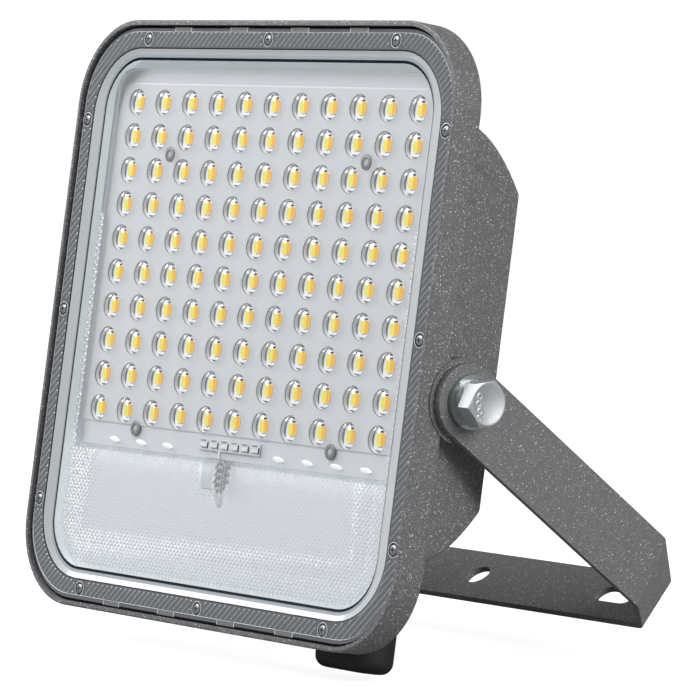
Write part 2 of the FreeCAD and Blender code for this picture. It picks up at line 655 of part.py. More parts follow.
def led_places():
    """The middle of each LED: columns about the middle, rows down from the top."""
    step_x, step_y = size("led_step_x"), size("led_step_y")
    each_side = math.floor(worked(f"({LENS_WIDE} - led_side) / led_step_x"))
    top = worked(f"{LENS_TOP} - led_top")
    rows = math.floor(worked(f"({LENS_TOP} - led_top + {LENS_LOW} - led_low) / led_step_y")) + 1
    return [(step_x * column, top - step_y * row)
            for row in range(rows) for column in range(-each_side, each_side + 1)]


# LED packages: a small square block under each dome.
def make_led_packages():
    half = size("package_size") / 2
    back = -worked(BOARD_FRONT)
    front = back + size("package_thick")
    blocks = [box(Vector(x - half, y - half, back), Vector(x + half, y + half, front))
              for x, y in led_places()]
    return keep_shape("led_packages", Part.makeCompound(blocks))


# Lens plate: a clear moulding with a skirt, a sunk border and a dome over each LED.
def make_lens_plate():
    body = new_body("lens_plate_blank")
    outline = new_sketch(body, "lens_outline", f"-({BOARD_FRONT})")
    add_frame(outline, f"-{LENS_WIDE}", LENS_WIDE, f"-{LENS_LOW}", LENS_TOP, "lens_round")
    grow(body, outline, "lens_blank", "lens_skirt + lens_thick - field_rise")
    inner = f"({LENS_WIDE} - lens_border)"
    inside = (f"-{inner}", inner, f"-({LENS_LOW} - lens_foot)", f"{LENS_TOP} - lens_border",
              "lens_round - lens_border / 2")
    field = new_sketch(body, "field_outline", f"-({LENS_FRONT}) - field_rise")
    add_frame(field, *inside)
    grow(body, field, "raised_field", "field_rise")
    room = new_sketch(body, "led_room_outline", f"-({BOARD_FRONT})")
    add_frame(room, *inside)
    sink(body, room, "led_room", "lens_skirt", Reversed=True)
    notch = new_sketch(body, "terminal_notch_outline", f"-({LENS_FRONT})")
    wide = "(terminal_half + terminal_gap)"
    add_frame(notch, f"-{wide}", wide, f"-({LENS_LOW} + lens_border)",
              f"-({TERMINAL_DROP} - terminal_high / 2 - terminal_gap / 2)", "terminal_gap / 2")
    sink(body, notch, "terminal_notch", "lens_thick + lens_skirt + small_gap")
    screws = new_sketch(body, "lens_screw_holes", f"-({LENS_FRONT})")
    for across, up in LENS_SCREWS:
        add_circle(screws, across, up, "screw_radius + small_gap")
    sink(body, screws, "lens_screw_clearance", "lens_thick + lens_skirt")
    front = -worked(LENS_FRONT)
    domes = [dome(x, y, front) for x, y in led_places()]
    return keep_shape("lens_plate", body.Shape.fuse(domes).removeSplitter())


def dome(x, y, front):
    """An eight-sided dome that stands on the plate."""
    tiers = ((size("dome_radius"), -size("small_gap")), (size("dome_top"), size("dome_high")))
    turns = [math.radians(45 * step + 22.5) for step in range(9)]
    low, high = [[Vector(x + radius * math.cos(turn), y + radius * math.sin(turn), front + lift)
                  for turn in turns] for radius, lift in tiers]
    sides = [Part.Face(Part.makePolygon([low[step], low[step + 1], high[step + 1], high[step], low[step]]))
             for step in range(8)]
    ends = [Part.Face(Part.makePolygon(ring)) for ring in (low, high)]
    return Part.Solid(Part.Shell(sides + ends))


def screw(head_radius, head_high, shank, length, place):
    """A small pan-head screw pointing to the back, its head seated at the given place."""
    head = rod(head_radius, place, place + Vector(0, 0, head_high))
    return head.fuse(rod(shank, place, place - Vector(0, 0, length)))


def make_cover_screws():
    seat = -worked("cover_sink + screw_sink")
    length = worked(f"{LEDGE} - cover_sink - screw_sink + screw_bite - screw_short")
    screws = [screw(size("screw_head"), worked("screw_sink - small_gap"), size("screw_radius"), length,
                    Vector(worked(across), worked(up), seat)) for across, up in COVER_SCREWS]
    return keep_shape("cover_screws", Part.makeCompound(screws))


def make_lens_screws():
    seat = -worked(LENS_FRONT)
    length = worked(f"floor_depth - ({LENS_FRONT}) + post_bite - screw_short")
    screws = [screw(size("lens_head"), size("lens_head_high"), size("screw_radius"), length,
                    Vector(worked(across), worked(up), seat)) for across, up in LENS_SCREWS]
    return keep_shape("lens_screws", Part.makeCompound(screws))


# Terminal row: a low block of push-in terminals at the foot of the LED board.
def make_terminal_row():
    half, high = size("terminal_half"), size("terminal_high") / 2
    back = -worked(BOARD_FRONT)
    middle = -worked(TERMINAL_DROP)
    front = back + size("terminal_thick")
    block = box(Vector(-half, middle - high, back), Vector(half, middle + high, front))
    ports = 6
    step = 2 * half / ports
    slots = [box(Vector(-half + step * (port + 0.2), middle - 1, back + 1),
                 Vector(-half + step * (port + 0.8), middle + 1, front))
             for port in range(ports)]
    return keep_shape("terminal_row", block.cut(slots))


# Lead clip and the short LED lead that runs through it and behind the tray.
def make_lead():
    front = -worked(TRAY_FRONT)
    lead_front = front + worked("board_thick + lead_radius + small_gap")
    radius, bend, half = size("lead_radius"), size("lead_bend"), size("clip_size") / 2
    block = box(Vector(-size("clip_x") - half, -worked(CLIP_FOOT), front),
                Vector(-size("clip_x") + half, -worked(CLIP_TOP), front + size("clip_thick")))
    start = Vector(worked(LEAD_X), -worked(f"{TERMINAL_DROP} + terminal_high / 2"), lead_front)
    turn = Vector(start.x, -worked(LEAD_TURN), lead_front)
    keep_shape("lead_clip", block.cut(rod(radius + size("small_gap"), start, turn)))
    middle = turn - Vector(0, 0, bend)
    end = middle - Vector(0, bend, 0)
    part_way = middle + Vector(0, -bend * math.sqrt(0.5), bend * math.sqrt(0.5))
    tail = end - Vector(0, 0, size("lead_tail"))
    path = Part.Wire([Part.LineSegment(start, turn).toShape(), Part.Arc(turn, part_way, end).toShape(),
                      Part.LineSegment(end, tail).toShape()])
    ring = Part.Wire(Part.makeCircle(radius, start, Vector(0, -1, 0)))
    keep_shape("led_lead", path.makePipeShell([ring], True, False))
    keep_shape("lead_plug", rod(size("plug_radius"), tail, tail - Vector(0, 0, size("plug_long"))))


# Battery: a row of cells in a cradle on the rear wall, held by a strap.
def make_battery():
    floor = -worked(BOX_FLOOR)
    step, radius, long = size("cell_step"), size("cell_radius"), size("cell_long")
    count = math.floor(worked(f"({PCB_LEFT} + {BACK_WIDE} - cell_side - cell_gap) / cell_step"))
    middle = step * count / 2 - worked(f"{BACK_WIDE} - cell_side")
    foot = f"{LENS_LOW} - lens_screw_up - post_radius - post_gap - cradle_end - small_gap"
    drop = worked(f"{foot} - cell_long / 2")
    lift = floor + size("cradle_floor") + radius + size("small_gap")
    spots = [middle + step * (number - (count - 1) / 2) for number in range(count)]
    ends = [(Vector(x, -drop - long / 2, lift), Vector(x, long / 2 - drop, lift)) for x in spots]
    cells = [rod(radius, *pair) for pair in ends]
    keep_shape("battery_cells", Part.makeCompound(cells))
    half = step * count / 2
    end = worked("cradle_end + small_gap")
    low = Vector(middle - half, -drop - long / 2 - end, floor)
    cradle = box(low, Vector(middle + half, long / 2 - drop + end, floor + size("cradle_high")))
    spare = Vector(0, size("small_gap"), 0)
    rooms = [rod(radius + size("small_gap"), low_end - spare, high_end + spare)
             for low_end, high_end in ends]
    keep_shape("battery_cradle", cradle.cut(rooms))
    wide, thick = size("strap_wide") / 2, size("strap_thick")
    top = lift + radius + size("small_gap")
    reach = half + size("small_gap")
    outer = box(Vector(middle - reach - thick, -drop - wide, floor),
                Vector(middle + reach + thick, wide - drop, top + thick))
    inner = box(Vector(middle - reach, -drop - wide, floor), Vector(middle + reach, wide - drop, top))
    keep_shape("battery_strap", outer.cut(inner))


# Control board with its screws, inductor and capacitors.
def make_control_board():
    body = new_body("control_board")
    back = f"{BOX_FLOOR} - pcb_stand"
    outline = new_sketch(body, "control_outline", f"-({back})")
    add_frame(outline, PCB_LEFT, f"{PCB_LEFT} + pcb_wide", PCB_FOOT, PCB_TOP, "pcb_inset / 5")
    for across, up in BOARD_SCREWS:
        add_circle(outline, across, up, "screw_radius + small_gap")
    grow(body, outline, "control", "pcb_thick")
    keep(body, "control_board")
    seat = -worked(f"{back} - pcb_thick")
    length = worked("pcb_thick + pcb_stand - screw_short")
    screws = [screw(size("screw_head"), size("screw_sink"), size("screw_radius"), length,
                    Vector(worked(across), worked(up), seat)) for across, up in BOARD_SCREWS]
    keep_shape("board_screws", Part.makeCompound(screws))
    middle = worked(f"{PCB_LEFT} + pcb_wide / 2")
    coil_ends = [Vector(middle, size("coil_up"), seat + lift) for lift in (0, size("coil_high"))]
    core = rod(size("coil_radius") * 0.4, *coil_ends)
    keep_shape("inductor", rod(size("coil_radius"), *coil_ends).cut(core))
    cans = [rod(size("capacitor_radius"), Vector(x, -size("capacitor_drop"), seat),
                Vector(x, -size("capacitor_drop"), seat + size("capacitor_high")))
            for x in (middle - size("capacitor_apart"), middle + size("capacitor_apart"))]
    keep_shape("capacitors", Part.makeCompound(cans))


# Pivot hardware on each side: hexagon bolt, spring washer, flat washer and friction washer.
def make_pivot_hardware():
    def ring(radius, start, thick, bore):
        low, high = pivot + Vector(start, 0, 0), pivot + Vector(start + thick, 0, 0)
        return rod(radius, low, high).cut(rod(bore, low - Vector(1, 0, 0), high + Vector(1, 0, 0)))

    bore = size("bolt_radius") + size("bolt_clear")
    mirrored_pair("friction_washer", ring(size("washer_radius"), boss_face, size("friction_thick"), bore))
    at = arm_outside
    mirrored_pair("flat_washer", ring(size("washer_radius"), at, size("washer_thick"), bore))
    at += size("washer_thick")
    gap = Vector(0, 0, size("spring_gap") / 2)
    spring = ring(size("spring_radius"), at, size("spring_thick"), bore)
    outer_end = Vector(at + size("spring_thick"), size("spring_radius"), 0)
    split = box(pivot + Vector(at, 0, 0) - gap, pivot + outer_end + gap)
    mirrored_pair("spring_washer", spring.cut(split))
    at += size("spring_thick")
    corner = size("hex_across") / 2 / math.cos(math.pi / 6)
    points = [pivot + Vector(at, corner * math.cos(turn), corner * math.sin(turn))
              for turn in (math.radians(60 * step + 15) for step in range(7))]
    head = Part.Face(Part.makePolygon(points)).extrude(Vector(size("hex_high"), 0, 0))
    top = pivot + Vector(at + size("hex_high"), 0, 0)
    flare = size("hex_high") * 2
    face_radius = size("hex_across") / 2 * 0.97
    dressed = Part.makeCone(face_radius + flare * math.tan(math.radians(60)), face_radius, flare,
                            top - Vector(flare, 0, 0), Vector(1, 0, 0))
    tip, seat = (pivot + Vector(at - inward, 0, 0) for inward in (size("bolt_long"), 0))
    mirrored_pair("pivot_bolt", head.common(dressed).fuse(rod(size("bolt_radius"), tip, seat)))


# Bracket: a steel strip folded twice at each end, with a centre hole and two slots.
def make_bracket():
    half = size("strip_wide") / 2
    down = math.radians(size("arm_angle"))
    along = Vector(0, -math.sin(down), -math.cos(down))
    side = Vector(0, math.cos(down), -math.sin(down))
    skew = half * math.tan(math.radians(size("fold_skew")))
    start = pivot + Vector(arm_outside, 0, 0)
    upper_fold = start + along * (size("fold_reach") - skew) + side * half
    lower_fold = start + along * (size("fold_reach") + skew) - side * half
    tilt = math.radians(size("cross_tilt"))
    width = Vector(0, math.sin(tilt), -math.cos(tilt))
    outward = Vector(0, -math.cos(tilt), -math.sin(tilt))
    corner_x = arm_outside - size("fold_in")
    upper_end = mount_point + width * half + Vector(corner_x, 0, 0)
    facet = (lower_fold - upper_fold).cross(upper_end - upper_fold)
    lower_edge = mount_point - width * half
    reach = (upper_fold - lower_edge).dot(facet) / facet.x
    lower_end = lower_edge + Vector(reach, 0, 0)
    arc = Part.Arc(start + side * half, start - along * half, start - side * half).toShape()
    rim = [arc, Part.makeLine(start - side * half, lower_fold), Part.makeLine(lower_fold, upper_fold),
           Part.makeLine(upper_fold, start + side * half)]
    arm = Part.Face(Part.Wire(rim))
    corner = Part.Face(Part.makePolygon([upper_fold, lower_fold, lower_end, upper_end, upper_fold]))
    flip = [Vector(-point.x, point.y, point.z) for point in (lower_end, upper_end)]
    cross = Part.Face(Part.makePolygon([upper_end, lower_end, *flip, upper_end]))
    plates = [plate(face) for face in (arm, corner)]
    plates += [solid.mirror(Vector(0, 0, 0), Vector(1, 0, 0)) for solid in plates]
    strip = plate(cross).fuse(plates).removeSplitter()
    folds = [(upper_fold, lower_fold), (upper_end, lower_end)]
    strip = bend(strip, folds, size("fold_round") - size("strip_thick"), size("strip_thick") * 1.08)
    strip = bend(strip, folds, size("fold_round"), 0)
    through = outward * (size("strip_thick") + 2)
    centre = rod(size("centre_radius"), mount_point + outward, mount_point - through)
    bore = rod(size("bolt_radius") + size("bolt_clear"), pivot + Vector(boss_face, 0, 0),
               pivot + Vector(arm_outside + size("strip_thick"), 0, 0))
    other_bore = bore.mirror(Vector(0, 0, 0), Vector(1, 0, 0))
    slots = [slot(side * (corner_x - size("slot_in")), outward, width) for side in (-1, 1)]
    return keep_shape("bracket", strip.cut([centre, bore, other_bore, *slots]))


def plate(face):
    """A flat panel of the strip: the outer face thickened towards the lamp."""
    normal = face.normalAt(0.5, 0.5)
    inward = normal if normal.dot(pivot - face.CenterOfMass) > 0 else -normal
    return face.extrude(inward * size("strip_thick"))


def bend(strip, folds, radius, inset):
    """Round the strip's folds on the outside, or on the inside where they are set in."""
    edges = []
    for start, end in folds + [(Vector(-p.x, p.y, p.z), Vector(-q.x, q.y, q.z)) for p, q in folds]:
        middle, way = (start + end) * 0.5, (end - start).normalize()
        for edge in strip.Edges:
            points = [vertex.Point for vertex in edge.Vertexes]
            if len(points) < 2 or edge.Length < size("strip_wide") * 0.7:
                continue
            run = (points[1] - points[0]).normalize()
            away = (edge.CenterOfMass - middle).Length
            if abs(run.dot(way)) > 0.99 and abs(away - inset) < 0.6:
                edges.append(edge)
    return strip.makeFillet(radius, edges)


def slot(middle, outward, width):
    """A cutter for a slot along the crossbar."""
    half, radius = size("slot_long") / 2, size("slot_wide") / 2
    ends = [mount_point + outward + Vector(middle + side * (half - radius), 0, 0) for side in (-1, 1)]
    depth = outward * -(size("strip_thick") + 3)
    rounds = [rod(radius, end, end + depth) for end in ends]
    low, high = ends
    bar = Part.Face(Part.makePolygon([low - width * radius, high - width * radius, high + width * radius,
                                      low + width * radius, low - width * radius])).extrude(depth)
    return bar.fuse(rounds)


# Charging inlet: a socket in the box's underside with a seal, a nut and a pull-off cap.
def make_inlet():
    axis = Vector(size("inlet_x"), 0, -size("inlet_depth"))

    def at(drop):
        return axis - Vector(0, drop, 0)

    seat = worked(INLET_SEAT)
    seal = rod(size("inlet_flange"), at(seat), at(seat + size("seal_thick")))
    barrel_hole = rod(size("inlet_radius") + size("small_gap"), at(seat - 1), at(seat + 20))
    keep_shape("inlet_seal", seal.cut(barrel_hole))
    flange_top = seat + size("seal_thick")
    flange_end = flange_top + size("inlet_flange_thick")
    nose_end = flange_end + size("inlet_nose_long")
    nut_top = seat - size("inlet_wall") - size("nut_thick")
    socket = rod(size("inlet_radius"), at(nut_top - 3), at(flange_top + 0.5))
    socket = socket.fuse([rod(size("inlet_flange"), at(flange_top), at(flange_end)),
                          rod(size("inlet_nose"), at(flange_end - 0.5), at(nose_end))])
    jack = rod(size("inlet_jack"), at(nose_end - size("inlet_jack_deep")), at(nose_end + 1))
    pin = rod(size("inlet_jack") * 0.3, at(nose_end - size("inlet_jack_deep") - 1), at(nose_end - 2))
    keep_shape("inlet_socket", socket.removeSplitter().cut(jack).fuse(pin))
    corner = size("nut_across") / 2 / math.cos(math.pi / 6)
    points = [at(nut_top) + Vector(corner * math.cos(turn), 0, corner * math.sin(turn))
              for turn in (math.radians(60 * step) for step in range(7))]
    nut = Part.Face(Part.makePolygon(points)).extrude(Vector(0, -size("nut_thick"), 0))
    thread = rod(size("inlet_radius") + size("thread_clear"), at(nut_top), at(nut_top + size("nut_thick")))
    keep_shape("inlet_nut", nut.cut(thread))
    make_cap(axis, flange_end)


def make_cap(axis, top):
    """A black push-on cap with grip ribs down the middle of its front and back."""
    half_wide, half_deep = size("cap_wide") / 2, size("cap_deep") / 2
    low = axis + Vector(-half_wide, -top - size("cap_long"), -half_deep)
    block = box(low, low + Vector(size("cap_wide"), size("cap_long"), size("cap_deep")))
    around = [edge for edge in block.Edges if edge.BoundBox.XLength < 0.1]
    block = block.makeFillet(size("cap_round"), around)
    proud = size("cap_rib_proud")
    rib_foot = low.y + size("cap_round") * 1.25
    rib_top = -top - size("cap_round") * 0.75
    ribs = []
    for number in range(int(size("cap_rib_count"))):
        x = axis.x + size("cap_rib_step") * (number - (size("cap_rib_count") - 1) / 2) - size("cap_rib") / 2
        ribs.append(box(Vector(x, rib_foot, low.z - proud),
                        Vector(x + size("cap_rib"), rib_top, low.z + size("cap_deep") + proud)))
    block = block.fuse(ribs).removeSplitter()
    room = rod(size("inlet_nose") + size("cap_clear"), axis - Vector(0, top - 1, 0),
               axis - Vector(0, top + size("inlet_nose_long") + 1, 0))
    keep_shape("inlet_cap", block.cut(room))


for maker in (make_housing, make_gasket, make_front_cover, make_cover_screws, make_tray, make_led_board,
              make_led_packages, make_lens_plate, make_lens_screws, make_terminal_row, make_lead,
              make_battery, make_control_board, make_pivot_hardware, make_bracket, make_inlet):
    maker()
doc.recompute()

bad = [item.Name for item in doc.Objects if "Invalid" in item.State or "Error" in item.State]
bad += [node.Label for node in nodes if node.Shape.isNull() or not node.Shape.isValid()]
if bad:
    raise RuntimeError(f"failed: {bad}")

os.makedirs("parts", exist_ok=True)
for node in nodes:
    node.Shape.exportStep(f"parts/{node.Label}.step")
    print(node.Label, len(node.Shape.Solids), round(node.Shape.Volume))
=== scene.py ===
# %% [markdown]
# A rechargeable floodlight, dressed for a studio picture. The lamp's solids come in from
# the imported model, with their real sizes and places. This file gives each one its finish,
# and swaps a few plain solids for finer meshes: lenses, chips, clear cover, bolts, screws.

# %% Load the frame
import json
import math
import bmesh
import bpy
from mathutils import Matrix, Vector


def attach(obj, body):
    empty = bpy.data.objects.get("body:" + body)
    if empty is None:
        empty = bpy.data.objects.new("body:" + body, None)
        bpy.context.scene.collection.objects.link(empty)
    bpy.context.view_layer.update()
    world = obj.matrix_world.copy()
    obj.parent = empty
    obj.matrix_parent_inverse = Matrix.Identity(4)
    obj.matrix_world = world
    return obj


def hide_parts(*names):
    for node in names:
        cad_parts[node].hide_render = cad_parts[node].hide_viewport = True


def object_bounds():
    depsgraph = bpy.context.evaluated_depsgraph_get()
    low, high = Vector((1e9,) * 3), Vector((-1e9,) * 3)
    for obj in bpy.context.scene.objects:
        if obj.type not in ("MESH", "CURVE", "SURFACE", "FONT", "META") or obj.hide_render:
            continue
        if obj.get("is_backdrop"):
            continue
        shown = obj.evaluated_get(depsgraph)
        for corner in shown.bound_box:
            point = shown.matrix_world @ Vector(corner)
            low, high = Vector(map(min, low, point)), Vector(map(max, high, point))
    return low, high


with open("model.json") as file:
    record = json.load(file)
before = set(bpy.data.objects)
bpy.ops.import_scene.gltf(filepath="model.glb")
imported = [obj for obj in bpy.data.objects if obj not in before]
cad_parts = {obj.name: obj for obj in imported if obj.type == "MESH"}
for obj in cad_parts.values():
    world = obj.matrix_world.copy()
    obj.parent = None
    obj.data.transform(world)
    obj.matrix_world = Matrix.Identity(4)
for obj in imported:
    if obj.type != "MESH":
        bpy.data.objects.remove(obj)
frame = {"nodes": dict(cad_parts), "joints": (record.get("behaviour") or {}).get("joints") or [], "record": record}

cad_low, cad_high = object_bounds()
nodes = frame["nodes"]
print("nodes", len(nodes), "box in mm", [round(1000 * side) for side in cad_high - cad_low])

# %% [markdown]
# Everything on the lamp is easier to place on its face: x to the right, y up the face and
# z out of it, in millimetres. One matrix turns such a point into the model's own metres.
# It leans back as the lamp does, and the tilt bolt's axis ties it to the solids.

# %% The lamp's own coordinates
LEAN = 9.23
PIVOT_ON_LAMP = Vector((0.0, -19.8, -20.5))
tilt = next(joint for joint in frame["joints"] if joint["name"] == "head_tilt")
turn = Matrix.Rotation(math.radians(90 - LEAN), 4, "X")
LAMP = Matrix.Translation(Vector(tilt["pos_m"])) @ turn @ Matrix.Scale(0.001, 4) @ Matrix.Translation(-PIVOT_ON_LAMP)
print("middle of the face at", [round(1000 * v, 1) for v in LAMP.translation])

# %% [markdown]
# The camera comes next, because every later choice is judged through it. A long lens far
# away gives the flat perspective of a catalogue picture.

# %% Camera
CAMERA_ON_LAMP = Vector((1323.0, -48.4, 1022.7))
CAMERA_AZIMUTH = 50.9
CAMERA_FALL = 4.31
LENS = 228.4
view_data = bpy.data.cameras.new("camera")
view_data.lens, view_data.sensor_width = LENS, 36
view_data.clip_end = 20
camera = bpy.data.objects.new("camera", view_data)
bpy.context.scene.collection.objects.link(camera)
camera.location = LAMP @ CAMERA_ON_LAMP
camera.rotation_euler = (math.radians(90 - CAMERA_FALL), 0, math.radians(CAMERA_AZIMUTH))
bpy.context.scene.camera = camera
print("camera at", [round(v, 3) for v in camera.location])

# %% [markdown]
# The picture has a white ground and soft light from all round, with a brighter side at the
# upper left. A pale floor under a bright world gives that, and three large lamps shape it.

# %% Floor and light
FLOOR_GAP = 0.0015


def plain_material(name, colour, roughness):
    """A material with one colour, for the stage."""
    made = bpy.data.materials.new(name)
    made.use_nodes = True
    shader = made.node_tree.nodes["Principled BSDF"]
    shader.inputs["Base Color"].default_value = (*colour, 1)
    shader.inputs["Roughness"].default_value = roughness
    return made


def area_light(name, place, aim, size, power):
    """A square soft light pointed at a spot."""
    data = bpy.data.lights.new(name, "AREA")
    data.size, data.energy = size, power
    light = bpy.data.objects.new(name, data)
    light.location = place
    light.rotation_euler = (Vector(aim) - Vector(place)).to_track_quat("-Z", "Y").to_euler()
    bpy.context.scene.collection.objects.link(light)


floor_mesh = bpy.data.meshes.new("floor")
floor_low = cad_low.z - FLOOR_GAP
floor_mesh.from_pydata([(x, y, floor_low) for x, y in ((-6, -6), (6, -6), (6, 6), (-6, 6))], [], [(0, 1, 2, 3)])
floor = bpy.data.objects.new("floor", floor_mesh)
floor_look = plain_material("floor", (0.3, 0.3, 0.3), 0.95)
floor_shader = floor_look.node_tree.nodes["Principled BSDF"]
floor_shader.inputs["Emission Color"].default_value = (1, 1, 1, 1)
seen_floor = floor_look.node_tree.nodes.new("ShaderNodeLightPath").outputs["Is Camera Ray"]
floor_glow = floor_look.node_tree.nodes.new("ShaderNodeMapRange")
floor_glow.inputs["To Max"].default_value = 0.9
floor_look.node_tree.links.new(seen_floor, floor_glow.inputs["Value"])
floor_look.node_tree.links.new(floor_glow.outputs[0], floor_shader.inputs["Emission Strength"])
floor_mesh.materials.append(floor_look)
bpy.context.scene.collection.objects.link(floor)
floor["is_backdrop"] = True
middle = (cad_low + cad_high) / 2
area_light("key", middle + Vector((-1.0, -1.6, 1.3)), middle, 0.8, 26)
area_light("left", middle + Vector((-1.6, -0.9, 0.9)), middle, 0.4, 7)
area_light("side", middle + Vector((1.8, 0.35, 0.8)), middle, 0.9, 29)
area_light("top", middle + Vector((-0.5, -1.0, 1.7)), middle, 1.0, 22)
world = bpy.data.worlds.new("studio")
world.use_nodes = True
world.node_tree.nodes["Background"].inputs["Color"].default_value = (1.0, 1.0, 1.0, 1)
seen = world.node_tree.nodes.new("ShaderNodeLightPath").outputs["Is Camera Ray"]
strength = world.node_tree.nodes.new("ShaderNodeMapRange")
strength.inputs["To Min"].default_value, strength.inputs["To Max"].default_value = 0.32, 1.02
world.node_tree.links.new(seen, strength.inputs["Value"])
world.node_tree.links.new(strength.outputs[0], world.node_tree.nodes["Background"].inputs["Strength"])
bpy.context.scene.world = world
bpy.context.scene.view_settings.view_transform = "Standard"

# %% [markdown]
# Materials share two effects: metallic flecks in the paint and a fine surface waviness.
# Each is a node group, so that it is made once and every material sets its own scale. The
# diamond pattern of the light spreader is mesh relief, further down.

# %% Shared effects
def new_group(name, inputs, outputs):
    """An empty shader node group with named inputs and outputs."""
    group = bpy.data.node_groups.new(name, "ShaderNodeTree")
    for label, value in inputs:
        socket = group.interface.new_socket(name=label, in_out="INPUT", socket_type="NodeSocketFloat")
        socket.default_value = value
    for label, kind in outputs:
        group.interface.new_socket(name=label, in_out="OUTPUT", socket_type=kind)
    return group, group.nodes.new("NodeGroupInput"), group.nodes.new("NodeGroupOutput")


def add_node(tree, kind, links=(), **settings):
    """A node with settings, and links from (socket, input name or number) pairs."""
    node = tree.nodes.new(kind)
    for key, value in settings.items():
        setattr(node, key, value)
    for source, target in links:
        if hasattr(source, "is_output"):
            tree.links.new(source, node.inputs[target])
        else:
            node.inputs[target].default_value = source
    return node


def math_node(tree, operation, first, second=0.5, clamp=False):
    """A math node's output from two sockets or numbers."""
    return add_node(tree, "ShaderNodeMath", [(first, 0), (second, 1)], operation=operation, use_clamp=clamp).outputs[0]


def build_flecks():
    """Specks of every brightness: a cell pattern, turned so that no flat face follows its cells."""
    group, inside, outside = new_group("metal_flecks", [("Cells per metre", 1200.0), ("Share", 0.12)],
                                       [("Bright", "NodeSocketFloat"), ("Tone", "NodeSocketFloat")])
    place = group.nodes.new("ShaderNodeTexCoord")
    turned = add_node(group, "ShaderNodeMapping", [(place.outputs["Object"], "Vector"), ((0.6, 0.4, 0.3), "Rotation")])
    cells = add_node(group, "ShaderNodeTexVoronoi", [(turned.outputs[0], "Vector"),
                                                     (inside.outputs["Cells per metre"], "Scale")])
    chance = add_node(group, "ShaderNodeSeparateColor", [(cells.outputs["Color"], 0)])
    near = add_node(group, "ShaderNodeMapRange", [(cells.outputs["Distance"], "Value"), (0.5, "From Min"),
                                                  (0.3, "From Max")]).outputs[0]
    lucky = math_node(group, "LESS_THAN", chance.outputs[0], inside.outputs["Share"])
    strength = add_node(group, "ShaderNodeMapRange", [(chance.outputs[2], "Value"), (0.25, "To Min")]).outputs[0]
    spot = math_node(group, "MULTIPLY", near, math_node(group, "MULTIPLY", lucky, strength))
    group.links.new(spot, outside.inputs["Bright"])
    group.links.new(chance.outputs[1], outside.inputs["Tone"])
    return group


def build_waviness():
    """A soft uneven height, as moulded plastic and sprayed paint have."""
    group, inside, outside = new_group("waviness", [("Scale", 300.0)], [("Height", "NodeSocketFloat")])
    place = group.nodes.new("ShaderNodeTexCoord")
    noise = add_node(group, "ShaderNodeTexNoise", [(place.outputs["Object"], "Vector"),
                                                   (inside.outputs["Scale"], "Scale"), (3.0, "Detail")])
    group.links.new(noise.outputs[0], outside.inputs["Height"])
    return group


FLECKS = build_flecks()
WAVINESS = build_waviness()


def new_material(name, colour, roughness, metallic=0.0):
    """A material with its tree and its shader."""
    made = bpy.data.materials.new(name)
    made.use_nodes = True
    shader = made.node_tree.nodes["Principled BSDF"]
    shader.inputs["Base Color"].default_value = (*colour, 1)
    shader.inputs["Roughness"].default_value = roughness
    shader.inputs["Metallic"].default_value = metallic
    return made, made.node_tree, shader


def group_node(tree, group, **values):
    """A shared effect placed in a material with its own values."""
    node = tree.nodes.new("ShaderNodeGroup")
    node.node_tree = group
    for key, value in values.items():
        node.inputs[key.replace("_", " ")].default_value = value
    return node


def bump(tree, shader, height, strength, distance):
    """Feed a height to the shader's normal."""
    node = add_node(tree, "ShaderNodeBump", [(height, "Height"), (strength, "Strength"), (distance, "Distance")])
    tree.links.new(node.outputs[0], shader.inputs["Normal"])


def mix_colour(tree, share, first, second):
    """A colour between two, by a share."""
    node = add_node(tree, "ShaderNodeMix", [(share, "Factor")], data_type="RGBA")
    for value, number in ((first, 6), (second, 7)):
        if hasattr(value, "is_output"):
            tree.links.new(value, node.inputs[number])
        else:
            node.inputs[number].default_value = (*value, 1)
    return node.outputs[2]


# %% [markdown]
# The housing and the bracket have a grey powder coat with silver flecks. The flecks are
# cells of a pattern a little under a millimetre wide, and about one in eight is lit.

# %% Powder coat
def powder_coat(name, grey, share):
    """Grey paint with coarse and fine specks."""
    made, tree, shader = new_material(name, (grey, grey, grey), 0.45)
    coarse = group_node(tree, FLECKS, Cells_per_metre=1500.0, Share=share)
    fine = group_node(tree, FLECKS, Cells_per_metre=2700.0, Share=share * 2.2)
    base = (grey * 1.01, grey, grey * 1.04)
    darker = tuple(0.6 * part for part in base)
    toned = mix_colour(tree, math_node(tree, "MULTIPLY", fine.outputs["Tone"], 0.55), base, darker)
    spots = math_node(tree, "MAXIMUM", coarse.outputs["Bright"], math_node(tree, "MULTIPLY", fine.outputs["Bright"], 0.8))
    lit = mix_colour(tree, spots, toned, (0.66, 0.67, 0.7))
    tree.links.new(lit, shader.inputs["Base Color"])
    rough = add_node(tree, "ShaderNodeMapRange", [(spots, "Value"), (0.5, "To Min"), (0.25, "To Max")])
    tree.links.new(rough.outputs[0], shader.inputs["Roughness"])
    wave = group_node(tree, WAVINESS, Scale=900.0)
    bump(tree, shader, wave.outputs[0], 0.3, 0.0002)
    return made


# %% [markdown]
# Plain finishes follow: rubber, plated steel, white sheet, moulded plastics. Each has some
# waviness, so that highlights break up as on the real thing.

# %% Plain finishes
def plain_finish(name, colour, roughness, metallic=0.0, scale=600.0, strength=0.15):
    """A finish of one colour with uneven roughness and a soft waviness."""
    made, tree, shader = new_material(name, colour, roughness, metallic)
    wave = group_node(tree, WAVINESS, Scale=scale)
    rough = add_node(tree, "ShaderNodeMapRange", [(wave.outputs[0], "Value"), (roughness * 0.8, "To Min"),
                                                  (min(1.0, roughness * 1.25), "To Max")])
    tree.links.new(rough.outputs[0], shader.inputs["Roughness"])
    bump(tree, shader, wave.outputs[0], strength, 0.0002)
    return made


